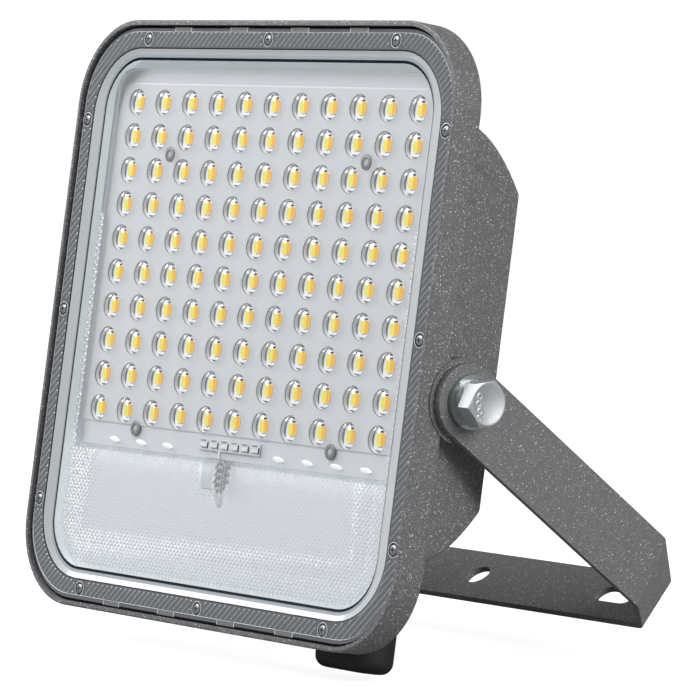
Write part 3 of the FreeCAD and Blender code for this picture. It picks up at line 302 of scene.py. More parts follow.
def clear_plastic(name, tint, least, boost, metallic=1.0, roughness=0.04, gloss=0.5):
    """Thin clear plastic: a faint mirror that grows with the slant, over what lies behind."""
    made, tree, shader = new_material(name, tint, roughness, metallic)
    shader.inputs["Specular IOR Level"].default_value = gloss
    slant = add_node(tree, "ShaderNodeLayerWeight", [(0.5, "Blend")]).outputs["Facing"]
    alpha = math_node(tree, "MULTIPLY_ADD", math_node(tree, "POWER", slant, 4.0), boost, clamp=True)
    alpha.node.inputs[2].default_value = least
    tree.links.new(alpha, shader.inputs["Alpha"])
    wave = group_node(tree, WAVINESS, Scale=260.0)
    bump(tree, shader, wave.outputs[0], 0.12, 0.0002)
    return made


FINISHES = {
    "powder_coat": powder_coat("powder_coat", 0.125, 0.1),
    "bracket_coat": powder_coat("bracket_coat", 0.15, 0.06),
    "clear_plastic": clear_plastic("clear_plastic", (0.93, 0.95, 0.97), 0.035, 0.9),
    "rubber": plain_finish("rubber", (0.03, 0.03, 0.032), 0.6),
    "screw_steel": plain_finish("screw_steel", (0.5, 0.5, 0.5), 0.3, 1.0),
    "zinc": plain_finish("zinc", (0.4, 0.43, 0.43), 0.3, 1.0, 400.0, 0.25),
    "white_sheet": plain_finish("white_sheet", (0.8, 0.83, 0.86), 0.35),
    "board_white": plain_finish("board_white", (0.75, 0.78, 0.8), 0.4),
    "board_green": plain_finish("board_green", (0.02, 0.12, 0.05), 0.4),
    "led_package": plain_finish("led_package", (0.85, 0.7, 0.2), 0.4),
    "white_plastic": plain_finish("white_plastic", (0.8, 0.8, 0.78), 0.35),
    "lead_cover": plain_finish("lead_cover", (0.75, 0.75, 0.72), 0.45),
    "black_plastic": plain_finish("black_plastic", (0.012, 0.012, 0.013), 0.4),
    "cell_can": plain_finish("cell_can", (0.1, 0.2, 0.4), 0.35),
    "cap_rubber": plain_finish("cap_rubber", (0.006, 0.0065, 0.0075), 0.65),
}
SLOT_OF = {row["node"]: row["material_slot"] for row in frame["record"]["subparts"]}
for name, node in nodes.items():
    node.data.materials.clear()
    node.data.materials.append(FINISHES[SLOT_OF[name]])
print("finishes", len(FINISHES))

# %% [markdown]
# Most finer pieces are lofts between rounded squares, or many small shapes of one kind.
# A small builder collects points and faces in lamp millimetres, each face with the number
# of its material, and turns them into one mesh that rides on the lamp.

# %% A builder for meshes on the lamp
class Piece:
    """Points and faces in lamp millimetres, made into one object at the end."""

    def __init__(self):
        self.points, self.faces, self.looks = [], [], []

    def add(self, points, faces, look=0):
        """Add a shape: its points, and faces that count from its own first point."""
        first = len(self.points)
        self.points += points
        self.faces += [[first + number for number in face] for face in faces]
        self.looks += [look] * len(faces)

    def add_loft(self, loops, looks, closed=False):
        """Bands between loops of equal length; a closed loft joins the last to the first."""
        count = len(loops[0])
        for number, (near, far) in enumerate(zip(loops, loops[1:] + loops[:1] * closed)):
            sides = [(step, (step + 1) % count, count + (step + 1) % count, count + step) for step in range(count)]
            self.add(near + far, sides, looks[number % len(looks)])

    def make(self, name, materials, slot, body="lamp", replaces=(), smooth=None):
        """The finished object, welded and with its faces turned outwards."""
        mesh = bpy.data.meshes.new(name)
        mesh.from_pydata([LAMP @ Vector(point) for point in self.points], [], self.faces)
        for material in materials:
            mesh.materials.append(material)
        mesh.polygons.foreach_set("material_index", self.looks)
        shape = bmesh.new()
        shape.from_mesh(mesh)
        bmesh.ops.remove_doubles(shape, verts=shape.verts, dist=1e-6)
        bmesh.ops.recalc_face_normals(shape, faces=shape.faces)
        if smooth is not None:
            for face in shape.faces:
                face.smooth = True
            for edge in shape.edges:
                edge.smooth = len(edge.link_faces) == 2 and edge.calc_face_angle() < math.radians(smooth)
        shape.to_mesh(mesh)
        shape.free()
        piece = bpy.data.objects.new(name, mesh)
        bpy.context.scene.collection.objects.link(piece)
        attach(piece, body)
        if replaces:
            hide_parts(*replaces)
        print(name, "faces", len(mesh.polygons))
        return piece


def rounded_square(half, radius, z, shorter=0.0, corner_steps=12):
    """A loop round the face: a square of given half width with round corners, shorter upwards if asked."""
    loop = []
    for quarter, (right, up) in enumerate(((1, 1), (-1, 1), (-1, -1), (1, -1))):
        across, high = right * (half - radius), up * (half - shorter - radius)
        for step in range(corner_steps + 1):
            angle = math.pi / 2 * (quarter + step / corner_steps)
            loop.append((across + radius * math.cos(angle), high + radius * math.sin(angle), z))
    return loop


def ring(x, y, z, radius, steps=24):
    """A circle of points parallel to the face."""
    return [(x + radius * math.cos(2 * math.pi * step / steps), y + radius * math.sin(2 * math.pi * step / steps), z)
            for step in range(steps)]


def slab(piece, low, high, look=0):
    """A box between two corners."""
    corners = [(x, y, z) for x in (low[0], high[0]) for y in (low[1], high[1]) for z in (low[2], high[2])]
    piece.add(corners, [(0, 1, 3, 2), (4, 6, 7, 5), (0, 4, 5, 1), (2, 3, 7, 6), (0, 2, 6, 4), (1, 5, 7, 3)], look)


# %% [markdown]
# The front cover is one clear moulding. Its flange lies in the lip, steps down to the
# window and carries a band of slanted ribs. The plastic is nearly invisible head on, so its
# edges and slopes carry the look, each with a material of its own on the same mesh: near-black
# painted shadow lines along the outer edge, the step and the window's edge, a grey band of
# painted shade just outside the window, and ribs painted near white as a painted glint.

# %% Front cover
RIM_HALF, RIM_ROUND = 116.0, 33.0
COVER_HALF, COVER_ROUND = RIM_HALF - 2.5, RIM_ROUND - 2.5
STEP_HALF, STEP_ROUND = RIM_HALF - 9.6, 26.0
WINDOW_HALF, WINDOW_ROUND = STEP_HALF - 6.0, 20.0
BACK_HALF, BACK_ROUND = 103.85, 20.85
FLANGE_FRONT, FLANGE_BACK, WINDOW_FRONT, WINDOW_BACK = -1.65, -4.15, -2.9, -5.2
STEP_SHORTER = 1.6
# Widths of the painted shadow line along the window's sides and along its top and bottom.
SIDE_SHADOW_LINE, END_SHADOW_LINE = 0.45, 1.1
TAB_WIDE, TAB_DEEP, TABS = 10.0, 2.2, (-54.0, -18.7, 18.7, 54.0)
clear = FINISHES["clear_plastic"]
flange_look = clear_plastic("cover_flange", (0.14, 0.148, 0.162), 0.88, 1.0, 0.0, 0.16, 0.35)
slope_look = clear_plastic("cover_slope", (0.5, 0.515, 0.53), 0.85, 1.0, 0.0, 0.2)
# Painted shadow line: near black, along the cover's outer edge, the step's edge and the window's edge.
shadow_line_look = clear_plastic("cover_painted_shadow_line", (0.006, 0.007, 0.01), 0.97, 1.0, 0.0, 0.3, 0.1)
# Painted glint: near white, for the ribs, the tabs' edges and the rims of the screw pockets.
glint_look = clear_plastic("cover_ribs_painted_glint", (0.8, 0.82, 0.84), 0.8, 1.0, 0.0, 0.15)
# Painted shade: a grey band just outside the window's shadow line.
shade_look = clear_plastic("cover_shade", (0.3, 0.34, 0.38), 0.85, 1.0, 0.0, 0.2)
tab_look = plain_finish("cover_tabs", (0.16, 0.165, 0.17), 0.3)
cover = Piece()
# In these looks, 3 is the painted shadow line and 6 is the painted shade.
cover.add_loft([
    rounded_square(COVER_HALF, COVER_ROUND, FLANGE_BACK),
    rounded_square(COVER_HALF, COVER_ROUND, FLANGE_FRONT - 0.3),
    rounded_square(COVER_HALF - 0.6, COVER_ROUND - 0.6, FLANGE_FRONT),
    rounded_square(STEP_HALF + 0.5, STEP_ROUND + 0.5, FLANGE_FRONT, STEP_SHORTER),
    rounded_square(STEP_HALF, STEP_ROUND, FLANGE_FRONT - 0.15, STEP_SHORTER),
    rounded_square(WINDOW_HALF + SIDE_SHADOW_LINE * 2.2, WINDOW_ROUND + SIDE_SHADOW_LINE * 2.2, WINDOW_FRONT + 0.35,
                   2.2 * (SIDE_SHADOW_LINE - END_SHADOW_LINE)),
    rounded_square(WINDOW_HALF + SIDE_SHADOW_LINE, WINDOW_ROUND + SIDE_SHADOW_LINE, WINDOW_FRONT + 0.2, SIDE_SHADOW_LINE - END_SHADOW_LINE),
    rounded_square(WINDOW_HALF, WINDOW_ROUND, WINDOW_FRONT),
], [1, 3, 1, 3, 2, 6, 3])
cover.add(rounded_square(WINDOW_HALF, WINDOW_ROUND, WINDOW_FRONT), [range(52)])
cover.add_loft([
    rounded_square(COVER_HALF, COVER_ROUND, FLANGE_BACK),
    rounded_square(BACK_HALF, BACK_ROUND, FLANGE_BACK),
    rounded_square(BACK_HALF, BACK_ROUND, WINDOW_BACK),
], [1, 2])
cover.add(rounded_square(BACK_HALF, BACK_ROUND, WINDOW_BACK), [range(52)])

# %% [markdown]
# Four clip tabs on the upper and the lower edge hold the cover while its screws go in. They
# show as small grey plates with a bright edge on each side, a painted glint.

# %% Clip tabs
tabs = Piece()
for end in (-1, 1):
    for middle_x in TABS:
        low_y, high_y = sorted((end * (COVER_HALF - 0.2), end * (COVER_HALF - TAB_DEEP)))
        slab(tabs, (middle_x - TAB_WIDE / 2, low_y, FLANGE_FRONT - 0.5),
             (middle_x + TAB_WIDE / 2, high_y, FLANGE_FRONT + 0.12))
        # The thin bright edges are painted glints.
        for edge in (-1, 1):
            edge_x = middle_x + edge * (TAB_WIDE / 2 + 0.15)
            slab(tabs, (edge_x - 0.15, low_y, FLANGE_FRONT - 0.5), (edge_x + 0.15, high_y, FLANGE_FRONT + 0.2), 1)
tabs.make("clip_tabs", [tab_look, glint_look], "clear_plastic")

# %% [markdown]
# The ribs all lean the same way, right round the cover. Each is the stretch of a slanted
# line that lies between two rounded squares, so a distance function finds where the line
# enters and leaves the band, also at the corners.

# %% Cover ribs
RIB_STEP, RIB_WIDE, RIB_HIGH = 3.0, 0.62, 0.35
RIB_IN, RIB_OUT, RIB_OUT_SHORTER = 107.5, 112.2, 1.1
POCKET = 4.3
SCREW_ROW, SCREW_SIDE, SCREW_END = 76.0, RIM_HALF - 5.8, RIM_HALF - 7.3
COVER_SCREWS = [(side * SCREW_SIDE, row) for side in (-1, 1) for row in (-SCREW_ROW, 0, SCREW_ROW)]
COVER_SCREWS += [(row, side * SCREW_END) for side in (-1, 1) for row in (-SCREW_ROW, 0, SCREW_ROW)]


def outside_by(x, y, half, radius, shorter=0.0):
    """How far a point lies outside a rounded square; less than zero inside."""
    across, up = abs(x) - (half - radius), abs(y) - (half - shorter - radius)
    return math.hypot(max(across, 0), max(up, 0)) + min(max(across, up), 0) - radius


def on_band(x, y):
    """Whether a point lies on the ribbed band and clear of the screws' pockets."""
    inner = outside_by(x, y, RIB_IN, STEP_ROUND + RIB_IN - STEP_HALF, STEP_SHORTER)
    outer = outside_by(x, y, RIB_OUT, COVER_ROUND + RIB_OUT - COVER_HALF, RIB_OUT_SHORTER)
    clear_of_screws = all(math.hypot(x - across, y - up) > POCKET for across, up in COVER_SCREWS)
    return inner > 0 > outer and clear_of_screws


def rib_stretches(offset, step=0.2):
    """The stretches of one slanted line that lie on the band."""
    stretches, start = [], None
    reach = int(2 * RIM_HALF / step)
    for count in range(-reach, reach + 1):
        along = count * step * math.sqrt(0.5)
        x, y = along + offset / 2, along - offset / 2
        if on_band(x, y) and start is None:
            start = (x, y)
        elif start is not None and not on_band(x, y):
            stretches.append((start, (x, y)))
            start = None
    return stretches


# Each rib is painted near white: a painted glint on clear plastic.
ribs = Piece()
for number in range(-77, 78):
    for (x0, y0), (x1, y1) in rib_stretches(number * RIB_STEP):
        if math.hypot(x1 - x0, y1 - y0) < 1.2:
            continue
        side = RIB_WIDE / 2 * math.sqrt(0.5)
        low, top = FLANGE_FRONT - 0.05, FLANGE_FRONT + RIB_HIGH
        ribs.add([(x0 - side, y0 + side, low), (x0 + side, y0 - side, low), (x0 + 0.3, y0 + 0.3, top),
                  (x1 - side, y1 + side, low), (x1 + side, y1 - side, low), (x1 - 0.3, y1 - 0.3, top)],
                 [(0, 1, 2), (3, 5, 4), (0, 3, 4, 1), (1, 4, 5, 2), (0, 2, 5, 3)])
# A bright line along the ribs' outer edge, also a painted glint.
radius = COVER_ROUND + RIB_OUT - COVER_HALF
ribs.add_loft([rounded_square(RIB_OUT + 0.2, radius, FLANGE_FRONT, RIB_OUT_SHORTER),
               rounded_square(RIB_OUT + 0.35, radius, FLANGE_FRONT + 0.3, RIB_OUT_SHORTER),
               rounded_square(RIB_OUT + 0.5, radius, FLANGE_FRONT, RIB_OUT_SHORTER)], [0], closed=True)
ribs.make("cover_ribs_painted_glint", [glint_look], "clear_plastic")

# %% [markdown]
# Each cover screw sits in a round pocket of the moulding: a dark ring, and in it a small
# domed head with a cross recess. Four plain pins hold the lens plate in the same manner.

# %% Screws
head_look = plain_finish("screw_head", (0.3, 0.31, 0.32), 0.35, 0.6)
pocket_look = plain_finish("screw_pocket", (0.012, 0.013, 0.015), 0.35)
PIN_LOOK = plain_finish("lens_pin", (0.2, 0.215, 0.225), 0.4)
pale_look = plain_finish("lens_pin_middle", (0.42, 0.44, 0.46), 0.4)
LENS_PINS = [(side * 60.48, y) for side in (-1, 1) for y in (64.1, -43.7)]


def add_screw(piece, x, y, seat, head_radius, head_high):
    """A domed head with a cross recess, in a ring."""
    # The thin band at the pocket's rim is a painted glint.
    piece.add_loft([ring(x, y, seat - 0.9, head_radius + 1.0), ring(x, y, seat + 0.1, head_radius + 1.0),
                    ring(x, y, seat + 0.14, head_radius + 0.75), ring(x, y, seat, head_radius + 0.6),
                    ring(x, y, seat, head_radius)], [1, 2, 1, 1])
    caps = [ring(x, y, seat + head_high * math.sin(lift), head_radius * math.cos(lift)) for lift in (0, 0.4, 0.8, 1.15)]
    piece.add_loft(caps, [0])
    piece.add(caps[-1], [range(24)], 0)
    arm, blade, top = head_radius * 0.55, head_radius * 0.12, seat + head_high + 0.02
    slab(piece, (x - arm, y - blade, top - 0.15), (x + arm, y + blade, top), 1)
    slab(piece, (x - blade, y - arm, top - 0.15), (x + blade, y + arm, top), 1)


screws = Piece()
for x, y in COVER_SCREWS:
    add_screw(screws, x, y, FLANGE_FRONT, 1.9, 0.55)
screws.make("cover_screw_heads", [head_look, pocket_look, glint_look], "screw_steel", replaces=["cover_screws"], smooth=40)

# %% [markdown]
# The window's inner face carries rows of tiny pyramids below and beside the LEDs, which
# spread the light. They are real relief here, a little over two millimetres apart. Near the
# window's edge two facets of each pyramid carry painted light and painted shade: one is
# painted lit, the next painted shaded.

# %% Light spreader on the window
SPREAD_STEP_X, SPREAD_STEP_Y, SPREAD_HIGH = 2.3, 2.7, 0.5
SPREAD_TOP, SPREAD_SIDE, SPREAD_EDGE = -53.5, 96.0, 9.0
WIRES_X, WIRES_Y, WIRES_WIDE, WIRES_HIGH = 0.5, -57.0, 5.2, 7.4
CLIP = (-13.5, 0.5, -63.5, -51.55)
spread_look = clear_plastic("cover_spreader", (0.69, 0.71, 0.75), 0.55, 1.0, 0.0, 0.08)
# A painted lit copy and a painted shaded copy of the spreader, for facets near the window's edge.
lit_facet_look = clear_plastic("spreader_painted_lit", (0.95, 0.97, 1.0), 0.6, 1.0, 0.0, 0.08)
shaded_facet_look = clear_plastic("spreader_painted_shade", (0.5, 0.53, 0.57), 0.6, 1.0, 0.0, 0.08)
wire_look = clear_plastic("broken_wires", (0.22, 0.225, 0.23), 0.7, 1.0, 0.0, 0.2)
spreader = Piece()


def spreads(x, y):
    """Whether a point of the window carries the spreading relief."""
    on_clip = CLIP[0] - 1 < x < CLIP[1] - 5 and y > CLIP[2] - 1
    in_zone = y < SPREAD_TOP or (abs(x) > SPREAD_SIDE and y < 40)
    return outside_by(x, y, WINDOW_HALF - 1, WINDOW_ROUND) < -0.6 and in_zone and not on_clip


rows = int(WINDOW_HALF / SPREAD_STEP_Y * 2)
columns = int(WINDOW_HALF / SPREAD_STEP_X)
for row in range(-rows, rows + 1):
    for column in range(-columns, columns + 1):
        x, y = (column + row % 2 / 2) * SPREAD_STEP_X, row * SPREAD_STEP_Y / 2
        if spreads(x, y):
            wide, high = SPREAD_STEP_X / 2, SPREAD_STEP_Y / 2
            from_edge = -outside_by(x, y, WINDOW_HALF, WINDOW_ROUND)
            from_side = min(from_edge, WINDOW_HALF + x)
            deep = SPREAD_HIGH * max(0.4, 1 - from_side / 45)
            spreader.add([(x - wide, y, WINDOW_BACK), (x, y - high, WINDOW_BACK), (x + wide, y, WINDOW_BACK),
                          (x, y + high, WINDOW_BACK), (x, y, WINDOW_BACK - deep)],
                         [(0, 1, 4), (1, 2, 4), (2, 3, 4), (3, 0, 4)])
            # Near the window's edge, one facet of each pyramid is painted lit and the next painted shaded.
            if from_side < SPREAD_EDGE:
                spreader.looks[-1], spreader.looks[-2] = 3, 4
            near_wires = math.hypot((x - WIRES_X) / WIRES_WIDE, (y - WIRES_Y) / WIRES_HIGH) < 1
            if near_wires:
                for turn in range(3):
                    spreader.looks[-1 - (2 * row + column + turn) % 4] = 1
cover.add(spreader.points, spreader.faces)
cover.looks[-len(spreader.looks):] = [4 + look for look in spreader.looks]
cover.make("clear_cover", [clear, flange_look, slope_look, shadow_line_look, spread_look, wire_look, shade_look, lit_facet_look, shaded_facet_look], "clear_plastic",
           replaces=["front_cover"])

# %% [markdown]
# Under the cover lies the lens plate: one clear moulding with a dome over each LED. From
# the side each dome shows the wall of its cup, with a dark edge of painted shade above and
# below, and the chip behind it seems to sit off to one side. The cup's wall is real here,
# so the chip shifts as it does on the bench when the camera moves.

# %% Lens plate with its domes and cups
LENS_HALF, LENS_TOP, LENS_LOW, LENS_ROUND = 102.5, 98.0, -52.0, 10.0
PLATE_FRONT, BORDER_FRONT, BOARD_FRONT, TRAY_FRONT = -7.4, -8.0, -9.5, -10.5
STEP_X, STEP_Y, TOP_ROW = 17.28, 13.5, 84.35
LEDS = [(STEP_X * column, TOP_ROW - STEP_Y * row) for row in range(10) for column in range(-5, 6)]
DOME_RADIUS, DOME_HIGH = 5.25, 1.8


def frame_loop(left, right, low, high, radius, z, corner_steps=8):
    """A loop round a rectangle with round corners."""
    loop = []
    for quarter, (x, y) in enumerate(((right, high), (left, high), (left, low), (right, low))):
        inward = (-1 if x == right else 1, -1 if y == high else 1)
        for step in range(corner_steps + 1):
            angle = math.pi / 2 * (quarter + step / corner_steps)
            loop.append((x + inward[0] * radius + radius * math.cos(angle),
                         y + inward[1] * radius + radius * math.sin(angle), z))
    return loop


plate_look = clear_plastic("lens_plate_field", (0.78, 0.81, 0.85), 0.6, 1.0, 0.0, 0.15)
dome_look = clear_plastic("lens_domes", (0.95, 0.97, 1.0), 0.055, 0.5)
# Painted shade: dark bands at the cup's top and bottom edges.
cup_edge_shade = clear_plastic("cup_edge_painted_shade", (0.2, 0.21, 0.235), 0.75, 1.0, 0.0, 0.2)
cup_light = clear_plastic("cup_wall", (0.88, 0.9, 0.94), 0.9, 1.0, 0.0, 0.2)
lens = Piece()
FIELD = (-LENS_HALF + 6, LENS_HALF - 6, LENS_LOW + 9, LENS_TOP - 6, 7.0)
lens.add_loft([frame_loop(-LENS_HALF, LENS_HALF, LENS_LOW, LENS_TOP, LENS_ROUND, BOARD_FRONT + 0.02),
               frame_loop(-LENS_HALF, LENS_HALF, LENS_LOW, LENS_TOP, LENS_ROUND, BORDER_FRONT - 0.3),
               frame_loop(-LENS_HALF + 0.3, LENS_HALF - 0.3, LENS_LOW + 0.3, LENS_TOP - 0.3, LENS_ROUND - 0.3,
                          BORDER_FRONT),
               frame_loop(*FIELD, BORDER_FRONT)], [0])
lens.add_loft([frame_loop(*FIELD, BORDER_FRONT), frame_loop(FIELD[0] + 0.6, FIELD[1] - 0.6, FIELD[2] + 0.6,
                                                            FIELD[3] - 0.6, FIELD[4] - 0.6, PLATE_FRONT)], [0])


def add_field(piece, look):
    """The plate's field: cells round the domes, each a square with a round hole."""
    left, right, low, high = FIELD[0] + 0.6, FIELD[1] - 0.6, FIELD[2] + 0.6, FIELD[3] - 0.6
    for x, y in LEDS:
        x_low = left if x < -4.9 * STEP_X else x - STEP_X / 2
        x_high = right if x > 4.9 * STEP_X else x + STEP_X / 2
        y_low = low if y < TOP_ROW - 8.9 * STEP_Y else y - STEP_Y / 2
        y_high = high if y > TOP_ROW - 0.1 else y + STEP_Y / 2
        edge = []
        for step in range(24):
            angle = 2 * math.pi * step / 24
            way = Vector((math.cos(angle), math.sin(angle)))
            reach = min(abs((x_high if way.x > 0 else x_low) - x) / max(abs(way.x), 1e-9),
                        abs((y_high if way.y > 0 else y_low) - y) / max(abs(way.y), 1e-9))
            edge.append((x + way.x * reach, y + way.y * reach, PLATE_FRONT))
        piece.add_loft([edge, ring(x, y, PLATE_FRONT, DOME_RADIUS)], [look])
        for x_edge in (x_low, x_high):
            for y_edge in (y_low, y_high):
                near = sorted(edge, key=lambda p: math.hypot(p[0] - x_edge, p[1] - y_edge))[:2]
                piece.add([(x_edge, y_edge, PLATE_FRONT), *near], [(0, 1, 2)], look)


add_field(lens, 0)
for x, y in LEDS:
    cap = [ring(x, y, PLATE_FRONT, DOME_RADIUS)]
    for lift in (30, 50, 66, 80):
        angle = math.radians(lift)
        cap.append(ring(x, y, PLATE_FRONT + DOME_HIGH * math.sin(angle), DOME_RADIUS * math.cos(angle) ** 0.8))
    lens.add_loft(cap, [1])
    lens.add(cap[-1], [range(24)], 1)
    # Bands of painted shade at the cup's top and bottom, with the light wall between them.
    lens.add_loft([ring(x, y, PLATE_FRONT - 0.02, 5.15), ring(x, y, PLATE_FRONT - 0.35, 4.95)], [2])
    lens.add_loft([ring(x, y, PLATE_FRONT - 0.35, 4.95), ring(x, y, BOARD_FRONT + 0.6, 4.6)], [3])
    lens.add_loft([ring(x, y, BOARD_FRONT + 0.6, 4.6), ring(x, y, BOARD_FRONT + 0.02, 4.35)], [2])
lens.make("lens_moulding", [plate_look, dome_look, cup_edge_shade, cup_light], "clear_plastic",
          replaces=["lens_plate"], smooth=30)

# %% [markdown]
# Each LED is a white package with two chips under one phosphor window: a cool one on the
# left and a warm one on the right, which gives the yellow and the orange half.

# %% LED packages
cool = plain_finish("phosphor_cool", (0.92, 0.83, 0.13), 0.4)
warm = plain_finish("phosphor_warm", (0.95, 0.5, 0.05), 0.4)
white = plain_finish("package_white", (0.9, 0.91, 0.93), 0.35)
mark = plain_finish("package_mark", (0.02, 0.02, 0.02), 0.5)
PACKAGE_FRONT = BOARD_FRONT + 0.6
CHIP_MIDDLE, CHIP_WIDE, CHIP_HIGH = 0.55, 2.6, 2.35
chips = Piece()
for x, y in LEDS:
    slab(chips, (x - 3.2, y - 3.9, BOARD_FRONT), (x + 3.5, y + 3.9, PACKAGE_FRONT), 2)
    chip_x = x + CHIP_MIDDLE
    for side, look in ((-1, 0), (1, 1)):
        ends = [(chip_x, y - CHIP_HIGH), (chip_x + side * 0.7 * CHIP_WIDE, y - CHIP_HIGH),
                (chip_x + side * CHIP_WIDE, y - 0.6 * CHIP_HIGH), (chip_x + side * CHIP_WIDE, y + 0.6 * CHIP_HIGH),
                (chip_x + side * 0.7 * CHIP_WIDE, y + CHIP_HIGH), (chip_x, y + CHIP_HIGH)]
        outline = [(*point, PACKAGE_FRONT + 0.12) for point in ends]
        chips.add_loft([[(*point, PACKAGE_FRONT) for point in ends], outline], [look])
        chips.add(outline, [range(6)], look)
    slab(chips, (chip_x - 0.9, y + 2.65, PACKAGE_FRONT - 0.2), (chip_x + 1.1, y + 3.3, PACKAGE_FRONT + 0.15), 3)
    slab(chips, (chip_x - 0.9, y - 2.9, PACKAGE_FRONT - 0.2), (chip_x + 0.3, y - 2.7, PACKAGE_FRONT + 0.08), 3)
    slab(chips, (chip_x + 0.6, y - 2.75, PACKAGE_FRONT - 0.2), (chip_x + 1.7, y - 2.55, PACKAGE_FRONT + 0.08), 3)
chips.make("led_chips", [cool, warm, white, mark], "led_package", replaces=["led_packages"])

# %% [markdown]
# Four pins hold the lens plate. Under the plate's lower edge lie the terminal row, with its
# solder points in a clear strip, each a near-white pad of painted highlight, and a small clip
# over the lead, with a line of painted shade along its top edge.

# %% Pins, terminal row and clip
pins = Piece()
for x, y in LENS_PINS:
    pins.add_loft([ring(x, y, PLATE_FRONT - 1.0, 3.0), ring(x, y, PLATE_FRONT + 0.25, 3.0), ring(x, y, PLATE_FRONT + 0.4, 2.8),
                   ring(x, y, PLATE_FRONT + 0.4, 1.5), ring(x, y, PLATE_FRONT + 0.1, 1.3)], [0])
    pins.add(ring(x, y, PLATE_FRONT + 0.1, 1.3), [range(24)], 1)
pins.make("lens_pins", [PIN_LOOK, pale_look], "screw_steel", replaces=["lens_screws"], smooth=40)

# Slim almond beads along the plate's lower border are painted near white and stand for the glints there: painted
# highlights.
BEAD_LONG, BEAD_HIGH, BEAD_PROUD, BEAD_Y, BEAD_SHIFT = 3.9, 1.15, 0.4, -49.1, -4.6
bead_glint_look = plain_finish("border_beads_painted_glint", (0.97, 0.98, 1.0), 0.12)


def bead_loop(x, y, share, z):
    """An almond outline, pointed at both ends."""
    angles = [2 * math.pi * step / 20 for step in range(20)]
    return [(x + share * BEAD_LONG * math.cos(a), y + share * BEAD_HIGH * math.sin(a) * abs(math.sin(a)) ** 0.5
             - 0.12 * share * BEAD_LONG * math.cos(a), z) for a in angles]


beads = Piece()
for column in (-4, -3, -2, 2, 3, 4, 5):
    bead_x = STEP_X * column + BEAD_SHIFT
    beads.add_loft([bead_loop(bead_x, BEAD_Y, 1.0, BORDER_FRONT - 0.2),
                    bead_loop(bead_x, BEAD_Y, 0.9, BORDER_FRONT + 0.6 * BEAD_PROUD),
                    bead_loop(bead_x, BEAD_Y, 0.6, BORDER_FRONT + BEAD_PROUD)], [0])
    beads.add(bead_loop(bead_x, BEAD_Y, 1.0, BORDER_FRONT - 0.2), [range(20)])
    beads.add(bead_loop(bead_x, BEAD_Y, 0.6, BORDER_FRONT + BEAD_PROUD), [range(20)])
beads.make("border_beads_painted_glint", [bead_glint_look], "clear_plastic", smooth=50)

strip_look = plain_finish("terminal_strip", (0.6, 0.63, 0.66), 0.3)
# Painted highlight: each solder point is a near-white pad.
solder_highlight_look = plain_finish("solder_painted_highlights", (0.76, 0.78, 0.8), 0.25)
ROW_HALF, ROW_Y, ROW_HIGH, ROW_FRONT = 19.0, -46.5, 2.25, -7.1
row_piece = Piece()
slab(row_piece, (-ROW_HALF, ROW_Y - ROW_HIGH, BOARD_FRONT), (ROW_HALF, ROW_Y + ROW_HIGH, ROW_FRONT - 0.3))
for number in range(6):
    cell_x = -ROW_HALF + (number + 0.5) * ROW_HALF / 3
    slab(row_piece, (cell_x - 2.2, ROW_Y - 0.9, ROW_FRONT - 0.4), (cell_x + 2.0, ROW_Y + 0.3, ROW_FRONT - 0.1), 1)
    slab(row_piece, (cell_x + 2.4, ROW_Y - 1.6, ROW_FRONT - 0.4), (cell_x + 2.75, ROW_Y + 1.0, ROW_FRONT - 0.05), 2)
    slab(row_piece, (cell_x - 1.8, ROW_Y + 1.3, ROW_FRONT - 0.4), (cell_x + 1.2, ROW_Y + 1.55, ROW_FRONT - 0.15), 2)
    slab(row_piece, (cell_x - 1.0, ROW_Y - 1.5, ROW_FRONT - 0.4), (cell_x + 1.9, ROW_Y - 1.3, ROW_FRONT - 0.15), 2)
row_piece.make("terminal_strip", [strip_look, solder_highlight_look, mark], "white_plastic", replaces=["terminal_row"])

clip_look = clear_plastic("clip_wall", (0.6, 0.63, 0.66), 0.25, 1.0, 0.0, 0.1)
# Painted shade: a dark line along the clear clip's rounded top edge.
clip_edge_painted_shade = clear_plastic("clip_edge_painted_shade", (0.2, 0.21, 0.22), 0.7, 1.0, 0.0, 0.1)
clip = Piece()
clip.add_loft([frame_loop(*CLIP, 2.0, TRAY_FRONT), frame_loop(*CLIP, 2.0, -6.6),
               frame_loop(CLIP[0] + 0.25, CLIP[1] - 0.25, CLIP[2] + 0.25, CLIP[3] - 0.25, 1.75, -6.3),
               frame_loop(CLIP[0] + 0.5, CLIP[1] - 0.5, CLIP[2] + 0.5, CLIP[3] - 0.5, 1.5, -6.3)], [0, 1, 0])
clip.add(frame_loop(CLIP[0] + 0.5, CLIP[1] - 0.5, CLIP[2] + 0.5, CLIP[3] - 0.5, 1.5, -6.3), [range(36)], 0)
clip.make("clear_clip", [clip_look, clip_edge_painted_shade], "clear_plastic", replaces=["lead_clip"])

# %% [markdown]
# The white tray is folded up all round, so that no paint shows beside the optics. The fold
# is a thin band that stands on the tray just inside the housing's wall. The fold and the white
# sheet glow faintly, though neither is a lamp: painted light that lifts them out of their shade.

# %% Tray fold
FOLD_HALF, FOLD_ROUND, FOLD_THICK = 103.8, 20.8, 0.6
fold = Piece()
fold.add_loft([
    rounded_square(FOLD_HALF, FOLD_ROUND, TRAY_FRONT - 0.1), rounded_square(FOLD_HALF, FOLD_ROUND, WINDOW_BACK - 0.1),
    rounded_square(FOLD_HALF - FOLD_THICK, FOLD_ROUND - FOLD_THICK, WINDOW_BACK - 0.1),
    rounded_square(FOLD_HALF - FOLD_THICK, FOLD_ROUND - FOLD_THICK, TRAY_FRONT - 0.1),
], [0], closed=True)
fold_look = plain_finish("tray_fold", (0.9, 0.95, 0.95), 0.35)
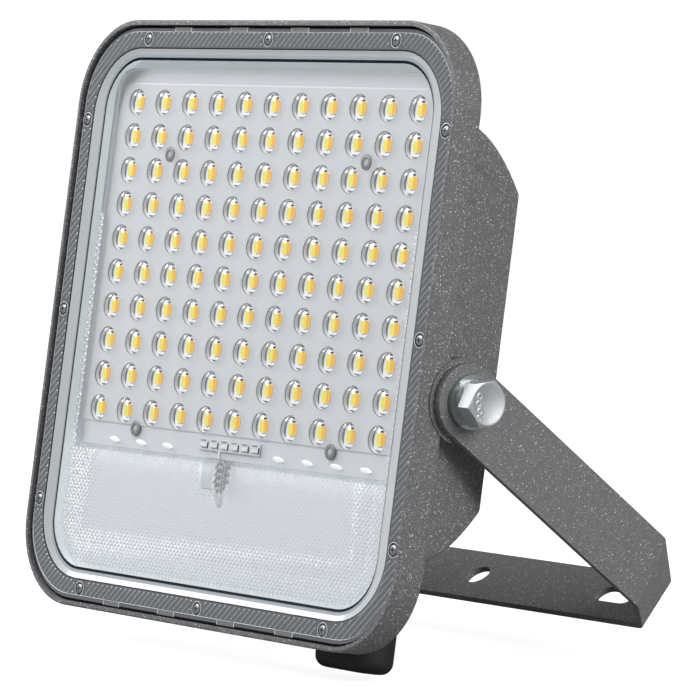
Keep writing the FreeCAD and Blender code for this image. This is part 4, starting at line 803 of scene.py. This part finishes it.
# Painted light: a faint glow on the fold and on the white sheet.
for look, glow in ((fold_look, 0.32), (FINISHES["white_sheet"], 0.14)):
    sheet_shader = look.node_tree.nodes["Principled BSDF"]
    sheet_shader.inputs["Emission Color"].default_value = (0.87, 0.93, 0.94, 1)
    sheet_shader.inputs["Emission Strength"].default_value = glow
fold.make("tray_fold", [fold_look], "white_sheet")

# %% [markdown]
# The tilt bolts are ordinary hexagon bolts. A turned head has a round face where a cone
# cuts the six corners, so each point's height comes from its distance to the axis. The
# face is slightly dished and carries only plain strength numerals.

# %% Pivot bolts
HEAD_IN, HEAD_OUT, ACROSS_FLATS, FACE_RADIUS = 124.0, 130.4, 16.0, 7.75
BOLT_TURN, CONE = 15.2, math.tan(math.radians(30))
bolt_look = plain_finish("bolt_zinc", (0.5, 0.515, 0.53), 0.5, 1.0, 350.0, 0.4)


def hexagon_radius(degrees):
    """Distance from the axis to the hexagon's side in one direction."""
    return ACROSS_FLATS / 2 / math.cos(math.radians((degrees - BOLT_TURN) % 60 - 30))


def bolt_loop(side, radius_at, out_at):
    """A loop round the tilt axis, with radius and distance from a function of the angle."""
    loop = []
    for step in range(72):
        degrees = BOLT_TURN + 5 * step
        radius, angle = radius_at(degrees), math.radians(degrees)
        loop.append((side * out_at(radius), PIVOT_ON_LAMP.y - radius * math.sin(angle),
                     PIVOT_ON_LAMP.z + radius * math.cos(angle)))
    return loop


def add_eight(piece, side, up, forward, size):
    """An eight from two small raised rings on the bolt's face."""
    for shift in (-0.55 * size, 0.5 * size):
        loops = []
        for reach, out in ((0.62, 0.0), (0.5, 0.16), (0.34, 0.16), (0.24, 0.0)):
            loops.append([(side * (HEAD_OUT - 0.18 + out), PIVOT_ON_LAMP.y + up + shift + reach * size * math.sin(turned),
                           PIVOT_ON_LAMP.z + forward + reach * size * math.cos(turned))
                          for turned in (2 * math.pi * step / 16 for step in range(16))])
        piece.add_loft(loops, [0])


for side, name in ((1, "right"), (-1, "left")):
    bolt = Piece()
    loops = [bolt_loop(side, hexagon_radius, lambda radius: HEAD_IN),
             bolt_loop(side, hexagon_radius, lambda radius: HEAD_OUT - (radius - FACE_RADIUS) * CONE)]
    for radius, out in ((FACE_RADIUS, 0.0), (7.0, 0.0), (6.6, 0.18)):
        loops.append(bolt_loop(side, lambda degrees: radius, lambda distance: HEAD_OUT - out))
    bolt.add_loft(loops, [0])
    bolt.add(loops[-1], [range(72)])
    bolt.add(loops[0], [range(72)])
    for up, forward in ((0.9, 4.4), (-4.3, 3.4)):
        add_eight(bolt, side, up, forward, 2.5)
    slab(bolt, (side * (HEAD_OUT - 0.3), PIVOT_ON_LAMP.y - 2.1, PIVOT_ON_LAMP.z + 4.6),
         (side * (HEAD_OUT - 0.03), PIVOT_ON_LAMP.y - 1.5, PIVOT_ON_LAMP.z + 5.2))
    bolt.make("bolt_" + name, [bolt_look], "zinc", replaces=["pivot_bolt_" + name], smooth=25)

# %% [markdown]
# The box behind the rim has crisp corners on the real casting, where the solid's are round.
# Four slim wedges fill the corners out. Each follows the box's own three sections, and its
# inner edge stays inside the casting's wall.

# %% Housing corners
BOX_DEPTHS = (11.0, 33.0, 46.45)
BOX_WIDTHS = (112.5, 106.9, 103.0)
BOX_HEIGHTS = (81.0, 72.0, 60.5)
CORNER_ROUND, CORNER_REACH, CORNER_INSIDE, CORNER_SUNK = 3.0, 15.0, 5.7, 1.0


def through_three(depth, values):
    """The value at a depth on a smooth curve through the box's three sections."""
    total = 0.0
    for one, value in enumerate(values):
        for other in range(3):
            if other != one:
                value *= (depth - BOX_DEPTHS[other]) / (BOX_DEPTHS[one] - BOX_DEPTHS[other])
        total += value
    return total


def corner_loop(across, up, depth):
    """The outline of one corner wedge at a depth."""
    wide, high = through_three(depth, BOX_WIDTHS), through_three(depth, BOX_HEIGHTS)
    loop = [(wide - CORNER_SUNK, high - CORNER_REACH - 3), (wide, high - CORNER_REACH)]
    for step in range(6):
        turn = math.pi / 2 * step / 5
        loop.append((wide - CORNER_ROUND * (1 - math.cos(turn)), high - CORNER_ROUND * (1 - math.sin(turn))))
    loop += [(wide - CORNER_REACH, high), (wide - CORNER_REACH - 3, high - CORNER_SUNK),
             (wide - CORNER_INSIDE, high - CORNER_INSIDE)]
    return [(across * x, up * y, -depth) for x, y in loop]


corners = Piece()
for across, up in ((1, 1), (1, -1), (-1, 1), (-1, -1)):
    loops = [corner_loop(across, up, BOX_DEPTHS[0] + (BOX_DEPTHS[-1] - BOX_DEPTHS[0]) * step / 10) for step in range(11)]
    corners.add_loft(loops, [0])
    corners.add(loops[0], [range(11)])
    corners.add(loops[-1], [range(11)])
corners.make("housing_corners", [FINISHES["powder_coat"]], "powder_coat", smooth=30)

# %% [markdown]
# The inlet's cap is a soft rubber moulding with an oval plan, a rounded bottom and a few
# grip ribs. Its height and depth come from the solid that it stands for, and its loops are
# turned upright, because the cap points down from the housing.

# %% Inlet cap
def lamp_box(name):
    """Lowest and highest corners of a solid in lamp millimetres."""
    back = LAMP.inverted()
    points = [back @ vertex.co for vertex in nodes[name].data.vertices]
    return [Vector(pick(point[axis] for point in points) for axis in range(3)) for pick in (min, max)]


CAP_LOW, CAP_HIGH = lamp_box("inlet_cap")
RIB_PROUD, CAP_BOTTOM, CAP_TOP, BORE, BORE_DEEP = 0.7, 4.5, 1.0, 6.65, 13.0
CAP_BACK, CAP_FRONT = CAP_LOW.z, CAP_HIGH.z - RIB_PROUD
CAP_ROUND = (CAP_FRONT - CAP_BACK) / 2 - 0.1


def cap_loop(y, inset):
    """A loop round the cap at one height."""
    flat = frame_loop(CAP_LOW.x + inset, CAP_HIGH.x - inset, CAP_BACK + inset, CAP_FRONT - inset, CAP_ROUND - inset, 0)
    return [(across, y, deep) for across, deep, _ in flat]


cap_x, cap_z = (CAP_LOW.x + CAP_HIGH.x) / 2, (CAP_BACK + CAP_FRONT) / 2
cap_loops = [cap_loop(CAP_LOW.y + CAP_BOTTOM * (1 - math.sin(lift)), CAP_BOTTOM * (1 - math.cos(lift)))
             for lift in (math.pi / 2 * step / 5 for step in (5, 4, 3, 2, 1, 0))]
cap_loops += [cap_loop(CAP_HIGH.y - CAP_TOP, 0), cap_loop(CAP_HIGH.y - 0.3, 0.3), cap_loop(CAP_HIGH.y, CAP_TOP)]
for y in (CAP_HIGH.y, CAP_HIGH.y - BORE_DEEP):
    cap_loops.append([(cap_x + BORE * math.cos(2 * math.pi * step / 36), y,
                       cap_z + BORE * math.sin(2 * math.pi * step / 36)) for step in range(36)])
cap = Piece()
cap.add_loft(cap_loops, [0])
cap.add(cap_loops[0], [range(36)])
cap.add(cap_loops[-1], [range(36)])
for number in range(7):
    rib_x = 0.5 + 1.9 * number
    beyond = max(0.0, rib_x - (CAP_HIGH.x - CAP_LOW.x) / 2 + CAP_ROUND)
    surface = cap_z + math.sqrt(CAP_ROUND ** 2 - beyond ** 2)
    slab(cap, (cap_x + rib_x - 0.4, CAP_LOW.y + 6.0, surface - 1.2), (cap_x + rib_x + 0.4, CAP_HIGH.y - 4.0, surface + 0.45))
cap.make("cap_cover", [FINISHES["cap_rubber"]], "cap_rubber", body="cap", replaces=["inlet_cap"], smooth=35)

# %% Finish
low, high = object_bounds()
print("visual box in mm", [round(1000 * side) for side in high - low])
